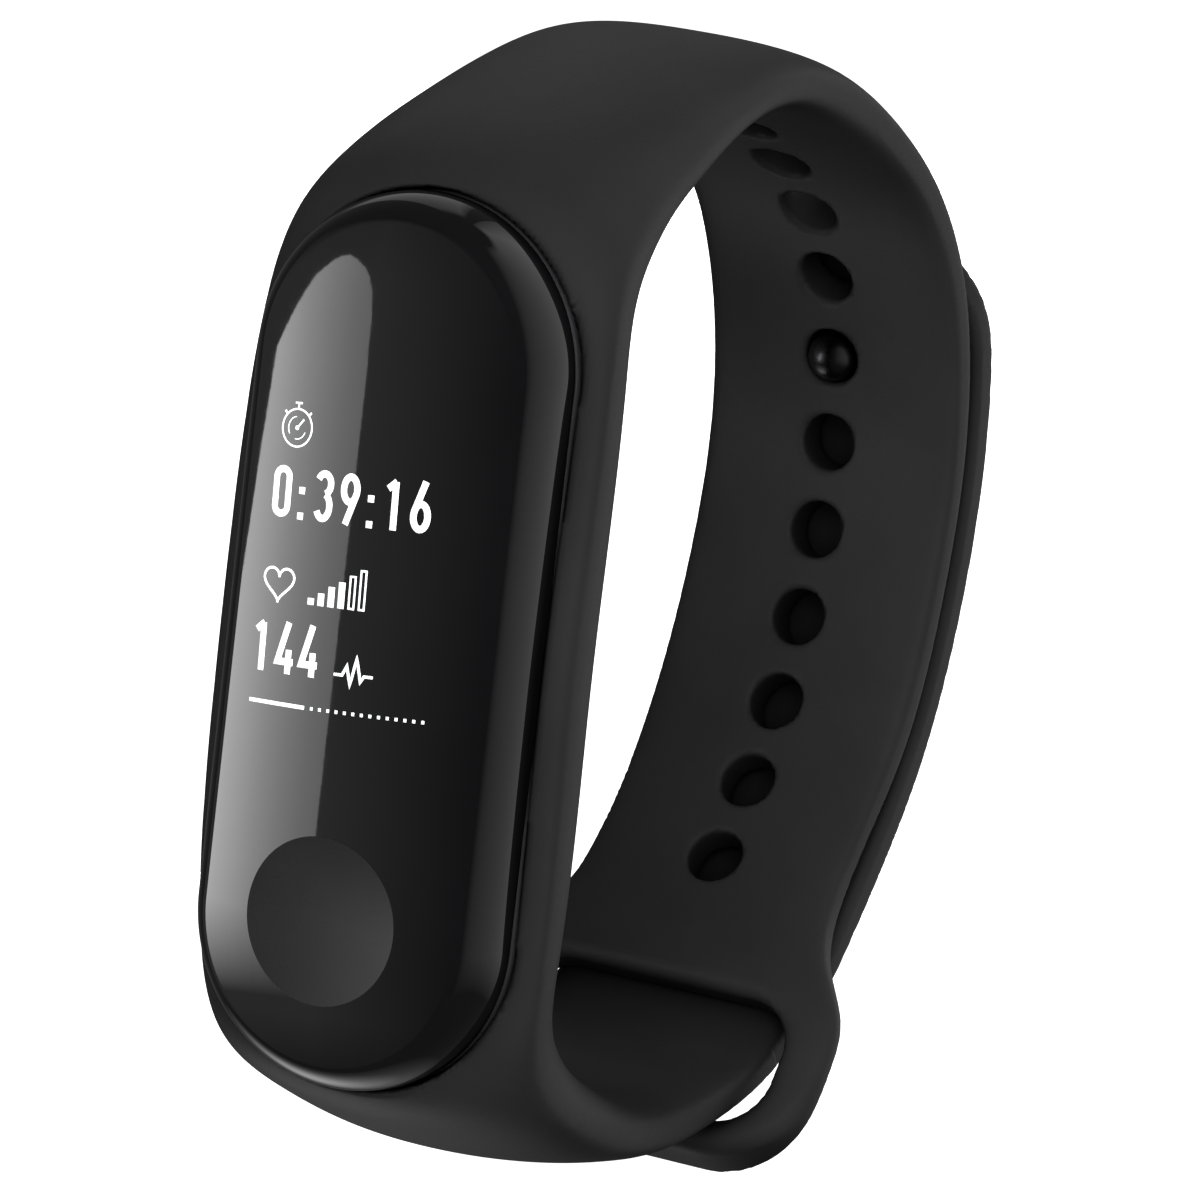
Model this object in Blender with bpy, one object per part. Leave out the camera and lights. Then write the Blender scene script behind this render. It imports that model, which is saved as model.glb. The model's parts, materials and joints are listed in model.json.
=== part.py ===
"""Fitness tracker band: a moulded elastomer strap that closes on itself through a keeper, with a
metal stud clasp, round a capsule-shaped tracker that pushes out of the strap's front.

Frame: +Z up along the tracker's long side, -Y out of the display, X across the strap (the wrist
lies along X). The part's origin is the middle of the sensor window's back face, which rests on the
wrist. The pieces are drawn in millimetres from the rim of the strap's front opening (y = 0), and
hang on one empty that moves them to the part's origin.
"""
import math

import bpy
import bmesh
import numpy as np
from mathutils import Matrix, Vector

MM = 0.001
GAP = 0.3                    # between a piece and its neighbour
FRAME_EMPTY = "tracker_band"

# The strap's side view, from the keeper's end up the back, over the top, down the front and back
# under the wrist to the keeper. Each row is one cross-section: outer y and z, inner y and z, half
# the width, the depth of the widest point as a part of the thickness, and how round the outer and
# the inner side are (0.35 is nearly square, 1 is an ellipse).
STRAP_ROWS = (
    ("keeper_end", 32.9, -31.6, 29.5, -29.4, 8.0, 0.50, 0.60, 0.60),
    ("keeper_low", 33.4, -29.8, 30.4, -27.9, 10.2, 0.50, 0.60, 0.60),
    ("keeper_middle", 34.9, -26.7, 32.2, -24.9, 11.0, 0.50, 0.60, 0.60),
    ("keeper_top", 37.0, -23.2, 34.6, -21.6, 10.7, 0.50, 0.60, 0.60),
    ("keeper_neck", 38.7, -20.9, 36.5, -19.4, 8.8, 0.50, 0.45, 0.45),
    ("arm_0", 41.2, -17.2, 39.3, -16.0, 7.7, 0.50, 0.35, 0.35),
    ("arm_1", 46.4, -9.1, 44.3, -8.1, 7.8, 0.50, 0.35, 0.35),
    ("arm_2", 48.9, -0.7, 46.6, -0.2, 7.8, 0.50, 0.35, 0.35),
    ("arm_3", 49.5, 6.2, 47.2, 6.2, 7.8, 0.50, 0.35, 0.35),
    ("arm_4", 48.8, 12.2, 46.4, 11.5, 7.8, 0.50, 0.35, 0.35),
    ("arm_5", 46.2, 18.4, 44.1, 17.1, 7.8, 0.50, 0.35, 0.35),
    ("arm_6", 42.9, 22.6, 41.1, 20.7, 7.7, 0.50, 0.38, 0.38),
    ("top_0", 37.4, 26.5, 35.9, 24.1, 7.7, 0.50, 0.42, 0.40),
    ("top_1", 30.7, 29.8, 29.4, 26.6, 7.6, 0.50, 0.60, 0.45),
    ("top_2", 24.0, 31.0, 23.6, 27.5, 7.8, 0.50, 0.85, 0.50),
    ("top_3", 17.1, 30.1, 18.0, 26.1, 8.2, 0.50, 1.00, 0.60),
    ("top_4", 10.0, 28.2, 13.8, 23.6, 8.7, 0.50, 1.05, 0.70),
    ("brow", 4.4, 26.1, 10.7, 20.9, 9.2, 0.48, 1.05, 0.80),
    ("rim_top", 0.9, 23.6, 9.4, 17.7, 9.7, 0.40, 1.05, 0.90),
    ("front_top", 0.3, 17.2, 9.1, 13.0, 10.3, 0.22, 0.90, 0.92),
    ("front_middle", 0.1, 0.0, 9.0, 0.0, 10.5, 0.18, 0.55, 0.92),
    ("front_low", 0.3, -17.2, 9.1, -13.0, 10.3, 0.22, 0.85, 0.92),
    ("rim_low", 0.9, -23.6, 9.4, -17.9, 9.8, 0.38, 1.00, 0.90),
    ("chin", 4.7, -26.0, 11.2, -20.9, 9.6, 0.40, 1.05, 0.80),
    ("low_0", 10.0, -28.0, 14.7, -23.3, 9.1, 0.46, 0.95, 0.70),
    ("low_1", 17.0, -28.9, 19.0, -25.3, 8.3, 0.47, 0.65, 0.60),
    ("low_2", 24.0, -29.1, 24.3, -26.3, 7.8, 0.50, 0.50, 0.50),
    ("low_3", 30.0, -28.3, 29.4, -26.1, 7.6, 0.50, 0.40, 0.40),
    ("through", 35.5, -26.5, 34.4, -24.7, 7.6, 0.50, 0.35, 0.35),
    ("tail_foot", 40.1, -23.1, 38.4, -21.6, 7.7, 0.50, 0.35, 0.35),
)
TAIL_ROWS = (0.0, 1.0, 2.0, 3.0, 4.0, 4.4, 4.7, 4.92, 5.05, 5.13)   # rows past arm_0
TAIL_ROUND_FROM, TAIL_ROUND_TO = 4.0, 5.15   # the tip's round end, in the same count
TAIL_GAP = 0.45              # between the holed arm and the tail that lies on it
TAIL_THICKNESS = 2.4
TAIL_HALF_WIDTH = 7.9
SPAN_STEPS = 4               # cross-sections for each row of the strap
SECTION_POINTS = 18

HOLE_RADIUS = 1.6
HOLE_PITCH = 4.95
HOLE_COUNT = 12
FIRST_HOLE = 16.7            # along the inner side, from the keeper's end to the lowest hole
STUD_HOLE = 6                # holes below the one that the stud sits in
HINGE_BELOW_STUD = 14.0
TAIL_SPLIT = 0.3             # between the fixed and the peeling stretch of the tail

SLOT_HALF_WIDTH = 8.7
SLOT_CORNER = 1.8
SLOT_FROM, SLOT_TO = 2.3, 10.0   # along the keeper, from its end

STUD_RADIUS = 1.22
STUD_DOME = 0.9              # how far the stud's round head stands into the wrist side
CAP_RADIUS = 2.7
CAP_THICKNESS = 0.7

CAPSULE_HALF_WIDTH = 8.85
CAPSULE_HALF_LENGTH = 23.3
SENSOR_FACE = 9.4            # the back of the sensor window, which rests on the wrist
ARC_STEPS = 8                # sides of each round end of a capsule outline

# The tracker case, front to back: y and how far the outline is drawn in from the widest.
CASE_OUTSIDE = ((1.2, 0.0), (1.9, 0.0), (4.0, 0.3), (5.4, 1.0), (6.3, 1.9), (7.0, 3.3))
CASE_WALL = 0.9
BUMP_HALF = (4.7, 8.6)
BUMP_BACK = 9.0
LENS_PROFILE = ((0.9, 0.0), (0.5, 0.0), (-0.3, 0.1), (-1.2, 0.4), (-1.95, 0.9), (-2.3, 1.6),
                (-2.55, 3.1), (-2.77, 5.0), (-2.93, 7.6))
LENS_WALL = 1.2
LENS_HOLLOW_FRONT = -1.0
DIMPLE_CENTRE = (0.0, -14.4)
DIMPLE_RADIUS = 4.5
DIMPLE_DEPTH = 0.4
DIMPLE_RIM = -2.8            # y of the dimple's rim on the domed front
GASKET_OUTER = (7.25, 21.7)  # half width and half length
GASKET_INNER = (6.85, 21.3)
GASKET_FRONT, GASKET_BACK = -0.7, 0.9
WINDOW_RADIUS = 3.55
WINDOW_SEAT_RADIUS = 3.85
LIGHT_HOLE_RADIUS = 3.1

BOARD_FRONT, BOARD_BACK = 1.9, 2.5
MOTOR_CENTRE = (0.0, 16.3)
MOTOR_RADIUS = 4.0
CONTACT_X, CONTACT_Z = 2.6, -16.4
CONTACT_RADIUS = 1.0
CONTACT_HOLE_RADIUS = 1.25


# ---------------------------------------------------------------- scene and materials

def clear_scene():
    for item in list(bpy.data.objects):
        bpy.data.objects.remove(item, do_unlink=True)


def place_frame():
    """The empty that puts the sensor window's back face at the part's origin."""
    empty = bpy.data.objects.new(FRAME_EMPTY, None)
    empty.location = (0.0, -SENSOR_FACE * MM, 0.0)
    bpy.context.collection.objects.link(empty)


def material(name, colour, roughness, metallic=0.0):
    made = bpy.data.materials.get(name) or bpy.data.materials.new(name)
    made.use_nodes = True
    shader = made.node_tree.nodes["Principled BSDF"]
    shader.inputs["Base Color"].default_value = (*colour, 1.0)
    shader.inputs["Roughness"].default_value = roughness
    shader.inputs["Metallic"].default_value = metallic
    return made


def elastomer():
    return material("strap_elastomer", (0.022, 0.022, 0.024), 0.55)


def gloss_black():
    return material("gloss_black", (0.006, 0.006, 0.007), 0.06)


def case_plastic():
    return material("case_plastic", (0.02, 0.02, 0.022), 0.4)


def steel():
    return material("dark_steel", (0.30, 0.30, 0.32), 0.25, 1.0)


def gold():
    return material("contact_gold", (0.83, 0.62, 0.26), 0.25, 1.0)


def board_green():
    return material("board", (0.02, 0.10, 0.05), 0.5)


def chip_black():
    return material("chip", (0.03, 0.03, 0.03), 0.45)


def tape_grey():
    return material("tape", (0.12, 0.12, 0.12), 0.8)


def foil():
    return material("battery_foil", (0.62, 0.63, 0.65), 0.35, 0.9)


def amber():
    return material("flex_film", (0.55, 0.25, 0.04), 0.4)


# ---------------------------------------------------------------- mesh helpers

def add_object(name, bm, finish, origin=(0.0, 0.0, 0.0), smooth=True):
    """Puts a mesh drawn in millimetres under the part's empty, with its origin at a given point."""
    bmesh.ops.translate(bm, verts=bm.verts, vec=-Vector(origin))
    bmesh.ops.scale(bm, verts=bm.verts, vec=(MM, MM, MM))
    bmesh.ops.recalc_face_normals(bm, faces=bm.faces)
    mesh = bpy.data.meshes.new(name)
    bm.to_mesh(mesh)
    bm.free()
    mesh.materials.append(finish)
    if smooth:
        mesh.shade_smooth()
        mesh.set_sharp_from_angle(angle=math.radians(35))
    made = bpy.data.objects.new(name, mesh)
    made.location = Vector(origin) * MM
    made.parent = bpy.data.objects[FRAME_EMPTY]
    bpy.context.collection.objects.link(made)
    return made


def skin(bm, rings, close_start=True):
    """Joins rings of points, all of one length, into a body with flat ends."""
    made = [[bm.verts.new(point) for point in ring] for ring in rings]
    count = len(made[0])
    for low, high in zip(made, made[1:]):
        for i in range(count):
            j = (i + 1) % count
            bm.faces.new((low[i], low[j], high[j], high[i]))
    if close_start:
        bm.faces.new(made[0][::-1])
    bm.faces.new(made[-1])


def cut(target, cutter_mesh, name):
    """Takes a cutter out of an object; the cutter stays as a hidden guide."""
    cutter = add_object(name, cutter_mesh, tape_grey(), smooth=False)
    cutter.hide_render = True
    cutter.display_type = 'WIRE'
    modifier = target.modifiers.new(name, 'BOOLEAN')
    modifier.operation = 'DIFFERENCE'
    modifier.solver = 'EXACT'
    modifier.object = cutter


def capsule_outline(half_width, half_length, y, centre_z=0.0, steps=ARC_STEPS):
    """A flat outline with two straight sides and two round ends, in the plane of one y."""
    straight = half_length - half_width
    points = []
    for end, start in ((1, 0.0), (-1, math.pi)):
        for i in range(steps + 1):
            angle = start + math.pi * i / steps
            points.append((half_width * math.cos(angle), y,
                           centre_z + end * straight + half_width * math.sin(angle)))
    return points


def capsule_body(profile, half_width, half_length, centre_z=0.0, steps=ARC_STEPS):
    """A body made of capsule outlines; each profile row is y and the inset from the full outline."""
    bm = bmesh.new()
    skin(bm, [capsule_outline(half_width - inset, half_length - inset, y, centre_z, steps)
              for y, inset in profile])
    return bm


def disc(radius, y_front, y_back, x=0.0, z=0.0, sides=24):
    """A round plate whose axis is along Y."""
    bm = bmesh.new()
    rings = []
    for y in (y_front, y_back):
        rings.append([(x + radius * math.cos(2 * math.pi * i / sides), y,
                       z + radius * math.sin(2 * math.pi * i / sides)) for i in range(sides)])
    skin(bm, rings)
    return bm


def ring_plate(outer, inner, y_front, y_back, x=0.0, z=0.0, sides=24):
    """A flat round washer whose axis is along Y."""
    bm = bmesh.new()
    loops = []
    for radius, y in ((outer, y_front), (outer, y_back), (inner, y_back), (inner, y_front)):
        loops.append([bm.verts.new((x + radius * math.cos(2 * math.pi * i / sides), y,
                                    z + radius * math.sin(2 * math.pi * i / sides)))
                      for i in range(sides)])
    for low, high in zip(loops, loops[1:] + loops[:1]):
        for i in range(sides):
            j = (i + 1) % sides
            bm.faces.new((low[i], low[j], high[j], high[i]))
    return bm


def block(x_range, y_range, z_range, chamfer=0.15):
    """A box with small chamfers along all its edges."""
    bm = bmesh.new()
    bmesh.ops.create_cube(bm, size=1.0)
    size = Vector([high - low for low, high in (x_range, y_range, z_range)])
    middle = Vector([(high + low) / 2 for low, high in (x_range, y_range, z_range)])
    bmesh.ops.scale(bm, verts=bm.verts, vec=size)
    bmesh.ops.translate(bm, verts=bm.verts, vec=middle)
    if chamfer:
        bmesh.ops.bevel(bm, geom=list(bm.edges), offset=chamfer, segments=1, affect='EDGES')
    return bm


# ---------------------------------------------------------------- the strap's path

def smooth_rows(rows, positions):
    """Reads a smooth curve through the rows at the given positions (row numbers, with fractions)."""
    rows = np.asarray(rows, float)
    middles = (rows[:, 0:2] + rows[:, 2:4]) / 2
    steps = np.linalg.norm(np.diff(middles, axis=0), axis=1)
    slopes = np.diff(rows, axis=0) / steps[:, None]
    tangents = np.empty_like(rows)
    tangents[0], tangents[-1] = slopes[0], slopes[-1]
    before, after = steps[:-1, None], steps[1:, None]
    tangents[1:-1] = (slopes[:-1] * after + slopes[1:] * before) / (before + after)
    out = []
    for position in positions:
        i = min(int(position), len(rows) - 2)
        t = position - i
        h = steps[i]
        out.append((2 * t**3 - 3 * t**2 + 1) * rows[i] + (t**3 - 2 * t**2 + t) * h * tangents[i]
                   + (3 * t**2 - 2 * t**3) * rows[i + 1] + (t**3 - t**2) * h * tangents[i + 1])
    return np.array(out)


def tail_rows():
    """The tail's rows: it lies on the outer side of the holed arm, a small gap away."""
    arm_rows = np.array([row[1:] for row in STRAP_ROWS])
    rows = []
    for count in TAIL_ROWS:
        arm = smooth_rows(arm_rows, [row_number("arm_0") + count])[0]
        outward = (arm[0:2] - arm[2:4]) / np.linalg.norm(arm[0:2] - arm[2:4])
        into_tip = max(0.0, count - TAIL_ROUND_FROM) / (TAIL_ROUND_TO - TAIL_ROUND_FROM)
        shrink = math.sqrt(1.0 - into_tip**2)
        inner = arm[0:2] + TAIL_GAP * outward
        outer = inner + TAIL_THICKNESS * (0.55 + 0.45 * shrink) * outward
        rows.append(np.concatenate([outer, inner, [TAIL_HALF_WIDTH * shrink, 0.5, 0.35, 0.35]]))
    return rows


def strap_rows():
    return np.array([row[1:] for row in STRAP_ROWS] + [list(row) for row in tail_rows()])


def row_number(name):
    return [row[0] for row in STRAP_ROWS].index(name)


def position_at(length, side):
    """The row position at a length along the inner (2) or outer (0) side, from the keeper's end."""
    fine = np.arange(0, len(strap_rows()) - 1 + 1e-9, 0.02)
    points = smooth_rows(strap_rows(), fine)[:, side:side + 2]
    run = np.concatenate([[0], np.cumsum(np.linalg.norm(np.diff(points, axis=0), axis=1))])
    return float(np.interp(length, run, fine))


def place_at(position):
    """Outer point, inner point, unit vector out of the strap and unit vector along it."""
    row = smooth_rows(strap_rows(), [position])[0]
    outer, inner = row[0:2], row[2:4]
    ahead = smooth_rows(strap_rows(), [position - 0.02, position + 0.02])
    along = (ahead[1] - ahead[0])[2:4]
    along /= np.linalg.norm(along)
    outward = np.array([along[1], -along[0]])
    if outward @ (outer - inner) < 0:
        outward = -outward
    return outer, inner, outward, along


def section(row):
    """One closed cross-section, counted from +X towards the outer side."""
    outer, inner, (half, widest, outside, inside) = row[0:2], row[2:4], row[4:8]
    points = []
    for i in range(SECTION_POINTS):
        angle = 2 * math.pi * i / SECTION_POINTS
        c, s = math.cos(angle), math.sin(angle)
        power = outside if s > 0 else inside
        x = half * math.copysign(abs(c) ** power, c)
        depth = widest * (1 - abs(s) ** power) if s > 0 else widest + (1 - widest) * abs(s) ** power
        y, z = outer + (inner - outer) * depth
        points.append((x, y, z))
    return points


def strap_loft(start, end, close_start=True):
    """The strap between two row positions."""
    inside = [p for p in np.arange(0, len(strap_rows()), 1 / SPAN_STEPS) if start + 0.1 < p < end - 0.1]
    bm = bmesh.new()
    skin(bm, [section(row) for row in smooth_rows(strap_rows(), [start, *inside, end])], close_start)
    return bm


def keeper_slot():
    """The slot through the keeper, cut straight across its thickness."""
    origin = smooth_rows(strap_rows(), [0.0])[0][2:4]
    far = smooth_rows(strap_rows(), [float(row_number("keeper_top"))])[0][2:4]
    along = (far - origin) / np.linalg.norm(far - origin)
    outward = np.array([along[1], -along[0]])
    outline = rounded_rectangle(SLOT_HALF_WIDTH, SLOT_FROM, SLOT_TO, SLOT_CORNER)
    return prism_across(origin, outward, along, outline, 3.0, 6.0)


def whole_strap(end):
    """The strap with its keeper slot. The slot is cut before the lower arm, which runs through it,
    is joined on at the middle of the front."""
    middle = float(row_number("front_middle"))
    half = add_object("half_strap", strap_loft(0.0, middle), elastomer())
    cut(half, keeper_slot(), "guide_keeper_slot")
    seen = half.evaluated_get(bpy.context.evaluated_depsgraph_get())
    bm = bmesh.new()
    bm.from_mesh(seen.to_mesh())
    bmesh.ops.scale(bm, verts=bm.verts, vec=(1 / MM, 1 / MM, 1 / MM))
    seen.to_mesh_clear()
    bpy.data.objects.remove(half, do_unlink=True)
    flat_end = [face for face in bm.faces if all(abs(vert.co.z) < 1e-4 for vert in face.verts)]
    bmesh.ops.delete(bm, geom=flat_end, context='FACES')
    other = bpy.data.meshes.new("lower_half")
    lower = strap_loft(middle, end, close_start=False)
    lower.to_mesh(other)
    lower.free()
    bm.from_mesh(other)
    bmesh.ops.remove_doubles(bm, verts=bm.verts, dist=1e-3)
    return bm


def prism_across(origin, outward, along, outline, reach_in, reach_out):
    """A straight cutter through the strap: outline points are x and the distance along the strap."""
    bm = bmesh.new()
    rings = []
    for reach in (-reach_in, reach_out):
        ring = []
        for x, run in outline:
            y, z = origin + along * run + outward * reach
            ring.append((x, y, z))
        rings.append(ring)
    skin(bm, rings)
    return bm


def circle(radius, sides=16):
    return [(radius * math.cos(2 * math.pi * i / sides), radius * math.sin(2 * math.pi * i / sides))
            for i in range(sides)]


def rounded_rectangle(half_width, low, high, corner, steps=3):
    points = []
    for x, y, start in ((half_width, high, 0), (-half_width, high, 1), (-half_width, low, 2),
                        (half_width, low, 3)):
        cx = x - math.copysign(corner, x)
        cy = y - corner if y == high else y + corner
        for i in range(steps + 1):
            angle = math.pi / 2 * (start + i / steps)
            points.append((cx + corner * math.cos(angle), cy + corner * math.sin(angle)))
    return points


# ---------------------------------------------------------------- strap and clasp

def stud_position():
    return position_at(FIRST_HOLE + STUD_HOLE * HOLE_PITCH, 2)


def tail_position_beside(point):
    """The row position on the tail whose inner side is nearest to a point."""
    fine = np.arange(len(STRAP_ROWS), len(strap_rows()) - 1, 0.02)
    inner = smooth_rows(strap_rows(), fine)[:, 2:4]
    return float(fine[np.argmin(np.linalg.norm(inner - point, axis=1))])


def split_position():
    """Where the peeling stretch of the tail starts, below the stud."""
    outer, _, _, along = place_at(stud_position())
    return tail_position_beside(outer - along * HINGE_BELOW_STUD)


def strap_body():
    split = split_position()
    half_gap = TAIL_SPLIT / 2 / row_spacing(split)
    body = add_object("strap_body", whole_strap(split - half_gap), elastomer())

    pocket = [(-3.0, 0.0), (1.9, 0.0), (4.0, 0.3), (5.4, 1.0), (6.3, 1.9), (7.3, 3.3)]
    cut(body, capsule_body(pocket, CAPSULE_HALF_WIDTH + GAP, CAPSULE_HALF_LENGTH + GAP),
        "guide_pocket")
    cut(body, capsule_body([(6.0, 0.0), (12.0, 0.0)], 5.1, 18.0), "guide_back_opening")

    for i in range(HOLE_COUNT):
        outer, inner, outward, along = place_at(position_at(FIRST_HOLE + i * HOLE_PITCH, 2))
        reach = np.linalg.norm(outer - inner)
        cut(body, prism_across(inner, outward, along, circle(HOLE_RADIUS), 0.6, reach + 0.42),
            f"guide_hole_{i + 1}")
    return body


def row_spacing(position):
    """Millimetres along the strap for one row at a position."""
    a, b = smooth_rows(strap_rows(), [position - 0.05, position + 0.05])
    return float(np.linalg.norm((b - a)[2:4])) / 0.1


def hinge_point():
    outer, _, outward, _ = place_at(split_position())
    return outer + outward * 0.3


def strap_tail():
    split = split_position()
    half_gap = TAIL_SPLIT / 2 / row_spacing(split)
    y, z = hinge_point()
    tail = add_object("strap_tail", strap_loft(split + half_gap, len(strap_rows()) - 1.0),
                      elastomer(), origin=(0.0, y, z))
    _, inner, outward, along = stud_frame()
    cut(tail, prism_across(inner, outward, along, circle(STUD_RADIUS + 0.2), 1.0, 6.0),
        "guide_stud_hole")
    return tail


def stud_frame():
    """The stud's line: the arm's two faces at its hole, with the direction out of the wrist."""
    return place_at(stud_position())


def turned_body(base, outward, profile, sides=20):
    """A round body along a line out of the strap; each profile row is a height and a radius."""
    across = np.array([-outward[1], outward[0]])
    bm = bmesh.new()
    rings = []
    for height, radius in profile:
        ring = []
        for i in range(sides):
            angle = 2 * math.pi * i / sides
            y, z = base + outward * height + across * radius * math.sin(angle)
            ring.append((radius * math.cos(angle), y, z))
        rings.append(ring)
    skin(bm, rings)
    return bm


def clasp_stud():
    """The stud: a straight shank through tail and arm with a domed head on the wrist side."""
    outer, inner, outward, _ = stud_frame()
    arm = float(np.linalg.norm(outer - inner))
    dome = [(-STUD_DOME * math.sin(a), STUD_RADIUS * math.cos(a))
            for a in (math.radians(step) for step in (80, 60, 40, 20, 0))]
    shank_end = arm + TAIL_GAP + TAIL_THICKNESS + 0.2
    profile = dome + [(shank_end, STUD_RADIUS)]
    return add_object("clasp_stud", turned_body(inner, outward, profile), steel(),
                      origin=(0.0, *hinge_point()))


def clasp_cap():
    """The cap that is pressed on the stud outside the tail."""
    outer, inner, outward, _ = stud_frame()
    start = float(np.linalg.norm(outer - inner)) + TAIL_GAP + TAIL_THICKNESS + 0.45
    profile = [(start, CAP_RADIUS), (start + CAP_THICKNESS * 0.6, CAP_RADIUS),
               (start + CAP_THICKNESS * 0.9, CAP_RADIUS - 0.3), (start + CAP_THICKNESS, CAP_RADIUS - 0.8)]
    return add_object("clasp_cap", turned_body(inner, outward, profile, 28), steel(),
                      origin=(0.0, *hinge_point()))


# ---------------------------------------------------------------- tracker, outside

def front_lens():
    lens = add_object("front_lens", capsule_body(LENS_PROFILE, CAPSULE_HALF_WIDTH,
                                                 CAPSULE_HALF_LENGTH, steps=12), gloss_black())
    cut(lens, capsule_body([(LENS_HOLLOW_FRONT, 0.0), (2.0, 0.0)], CAPSULE_HALF_WIDTH - LENS_WALL,
                           CAPSULE_HALF_LENGTH - LENS_WALL), "guide_lens_hollow")
    radius = (DIMPLE_RADIUS**2 + DIMPLE_DEPTH**2) / (2 * DIMPLE_DEPTH)
    bm = bmesh.new()
    bmesh.ops.create_uvsphere(bm, u_segments=48, v_segments=48, radius=radius)
    x, z = DIMPLE_CENTRE
    bmesh.ops.rotate(bm, verts=bm.verts, cent=(0, 0, 0), matrix=Matrix.Rotation(math.pi / 2, 3, 'X'))
    bmesh.ops.translate(bm, verts=bm.verts, vec=(x, DIMPLE_RIM + DIMPLE_DEPTH - radius, z))
    cut(lens, bm, "guide_touch_dimple")
    return lens


def lens_gasket():
    """The adhesive gasket that closes the seam between lens and case."""
    bm = bmesh.new()
    outer = [capsule_outline(*GASKET_OUTER, y) for y in (GASKET_FRONT, GASKET_BACK)]
    inner = [capsule_outline(*GASKET_INNER, y) for y in (GASKET_BACK, GASKET_FRONT)]
    loops = [[bm.verts.new(point) for point in ring] for ring in outer + inner]
    count = len(loops[0])
    for low, high in zip(loops, loops[1:] + loops[:1]):
        for i in range(count):
            j = (i + 1) % count
            bm.faces.new((low[i], low[j], high[j], high[i]))
    return add_object("lens_gasket", bm, tape_grey())


def tracker_case():
    width, length = CAPSULE_HALF_WIDTH, CAPSULE_HALF_LENGTH
    bm = bmesh.new()
    rings = [capsule_outline(width - inset, length - inset, y) for y, inset in CASE_OUTSIDE]
    back = CASE_OUTSIDE[-1][0]
    rings += [capsule_outline(BUMP_HALF[0] + 0.2, BUMP_HALF[1] + 0.2, back),
              capsule_outline(BUMP_HALF[0] - 0.2, BUMP_HALF[1] - 0.2, BUMP_BACK - 0.5),
              capsule_outline(BUMP_HALF[0] - 0.7, BUMP_HALF[1] - 0.7, BUMP_BACK)]
    skin(bm, rings)
    case = add_object("tracker_case", bm, case_plastic())

    hollow = [(-1.0, CASE_WALL), (1.9, CASE_WALL), (4.0, CASE_WALL + 0.3), (5.2, CASE_WALL + 1.0),
              (6.1, CASE_WALL + 2.1)]
    cut(case, capsule_body(hollow, width, length), "guide_case_hollow")
    cut(case, capsule_body([(5.0, 0.0), (7.4, 0.0)], 3.9, 7.6), "guide_sensor_bay")
    cut(case, disc(LIGHT_HOLE_RADIUS, 6.5, 10.0), "guide_sensor_light_hole")
    cut(case, disc(WINDOW_SEAT_RADIUS, 8.0, 10.0, sides=32), "guide_window_seat")
    for side, name in ((-1, "left"), (1, "right")):
        cut(case, disc(CONTACT_HOLE_RADIUS, 5.5, 8.0, side * CONTACT_X, CONTACT_Z),
            f"guide_contact_{name}")
    return case


def sensor_window():
    bm = bmesh.new()
    rings = []
    for y, radius in ((8.45, WINDOW_RADIUS), (9.2, WINDOW_RADIUS), (SENSOR_FACE, WINDOW_RADIUS - 0.25)):
        rings.append([(x, y, z) for x, z in circle(radius, 32)])
    skin(bm, rings)
    return add_object("sensor_window", bm, gloss_black())


def window_adhesive():
    return add_object("window_adhesive", ring_plate(3.7, 3.2, 8.12, 8.32), tape_grey())


def charge_contacts():
    for side, name in ((-1, "charge_contact_left"), (1, "charge_contact_right")):
        add_object(name, disc(CONTACT_RADIUS, 6.3, 7.1, side * CONTACT_X, CONTACT_Z), gold())


# ---------------------------------------------------------------- tracker, inside

def display_parts():
    add_object("display_adhesive", block((-6.2, 6.2), (-0.85, -0.7), (-8.6, 14.6), 0.0), tape_grey())
    add_object("display_panel", block((-6.4, 6.4), (-0.45, 0.45), (-9.0, 15.2)), gloss_black())
    add_object("touch_electrode", disc(4.0, -0.85, -0.6, *DIMPLE_CENTRE), gold())
    ribbon_profile = ((15.5, -0.2), (16.6, -0.2), (17.1, 0.3), (17.1, 1.1), (16.6, 1.6), (13.4, 1.6),
                      (13.4, 1.4), (16.4, 1.4), (16.9, 0.9), (16.9, 0.5), (16.4, 0.0), (15.5, 0.0))
    bm = bmesh.new()
    skin(bm, [[(x, y, z) for z, y in ribbon_profile] for x in (-3.0, 3.0)])
    add_object("display_ribbon", bm, amber(), smooth=False)


def inner_frame():
    """The carrier that holds the display in front of the board."""
    frame = add_object("inner_frame", capsule_body([(0.75, 0.0), (1.6, 0.0)], 6.6, 21.0), case_plastic())
    cut(frame, capsule_body([(0.0, 0.0), (3.0, 0.0)], 5.3, 19.7), "guide_frame_window")
    return frame


def main_board_and_chips():
    add_object("main_board", capsule_body([(BOARD_FRONT, 0.0), (BOARD_BACK, 0.0)], 6.9, 21.4), board_green())
    shield = add_object("radio_shield",
                        block((-4.0, 4.0), (-0.2, BOARD_FRONT - 0.15), (-17.4, -9.9)), steel())
    cut(shield, block((-3.7, 3.7), (0.1, 3.0), (-17.1, -10.2), 0.0), "guide_shield_hollow")
    chips = (("radio_chip", (-2.6, 2.6), (0.8, 1.75), (-16.2, -11.0)),
             ("memory_chip", (-4.2, -0.6), (0.95, 1.75), (-6.4, -2.6)),
             ("motion_sensor", (1.2, 3.7), (0.95, 1.75), (-5.8, -3.3)),
             ("clock_crystal", (1.0, 4.2), (1.05, 1.75), (0.4, 1.9)),
             ("touch_controller", (-3.8, -1.0), (0.95, 1.75), (0.6, 3.4)))
    for name, xs, ys, zs in chips:
        add_object(name, block(xs, ys, zs, 0.08), chip_black(), smooth=False)


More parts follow.
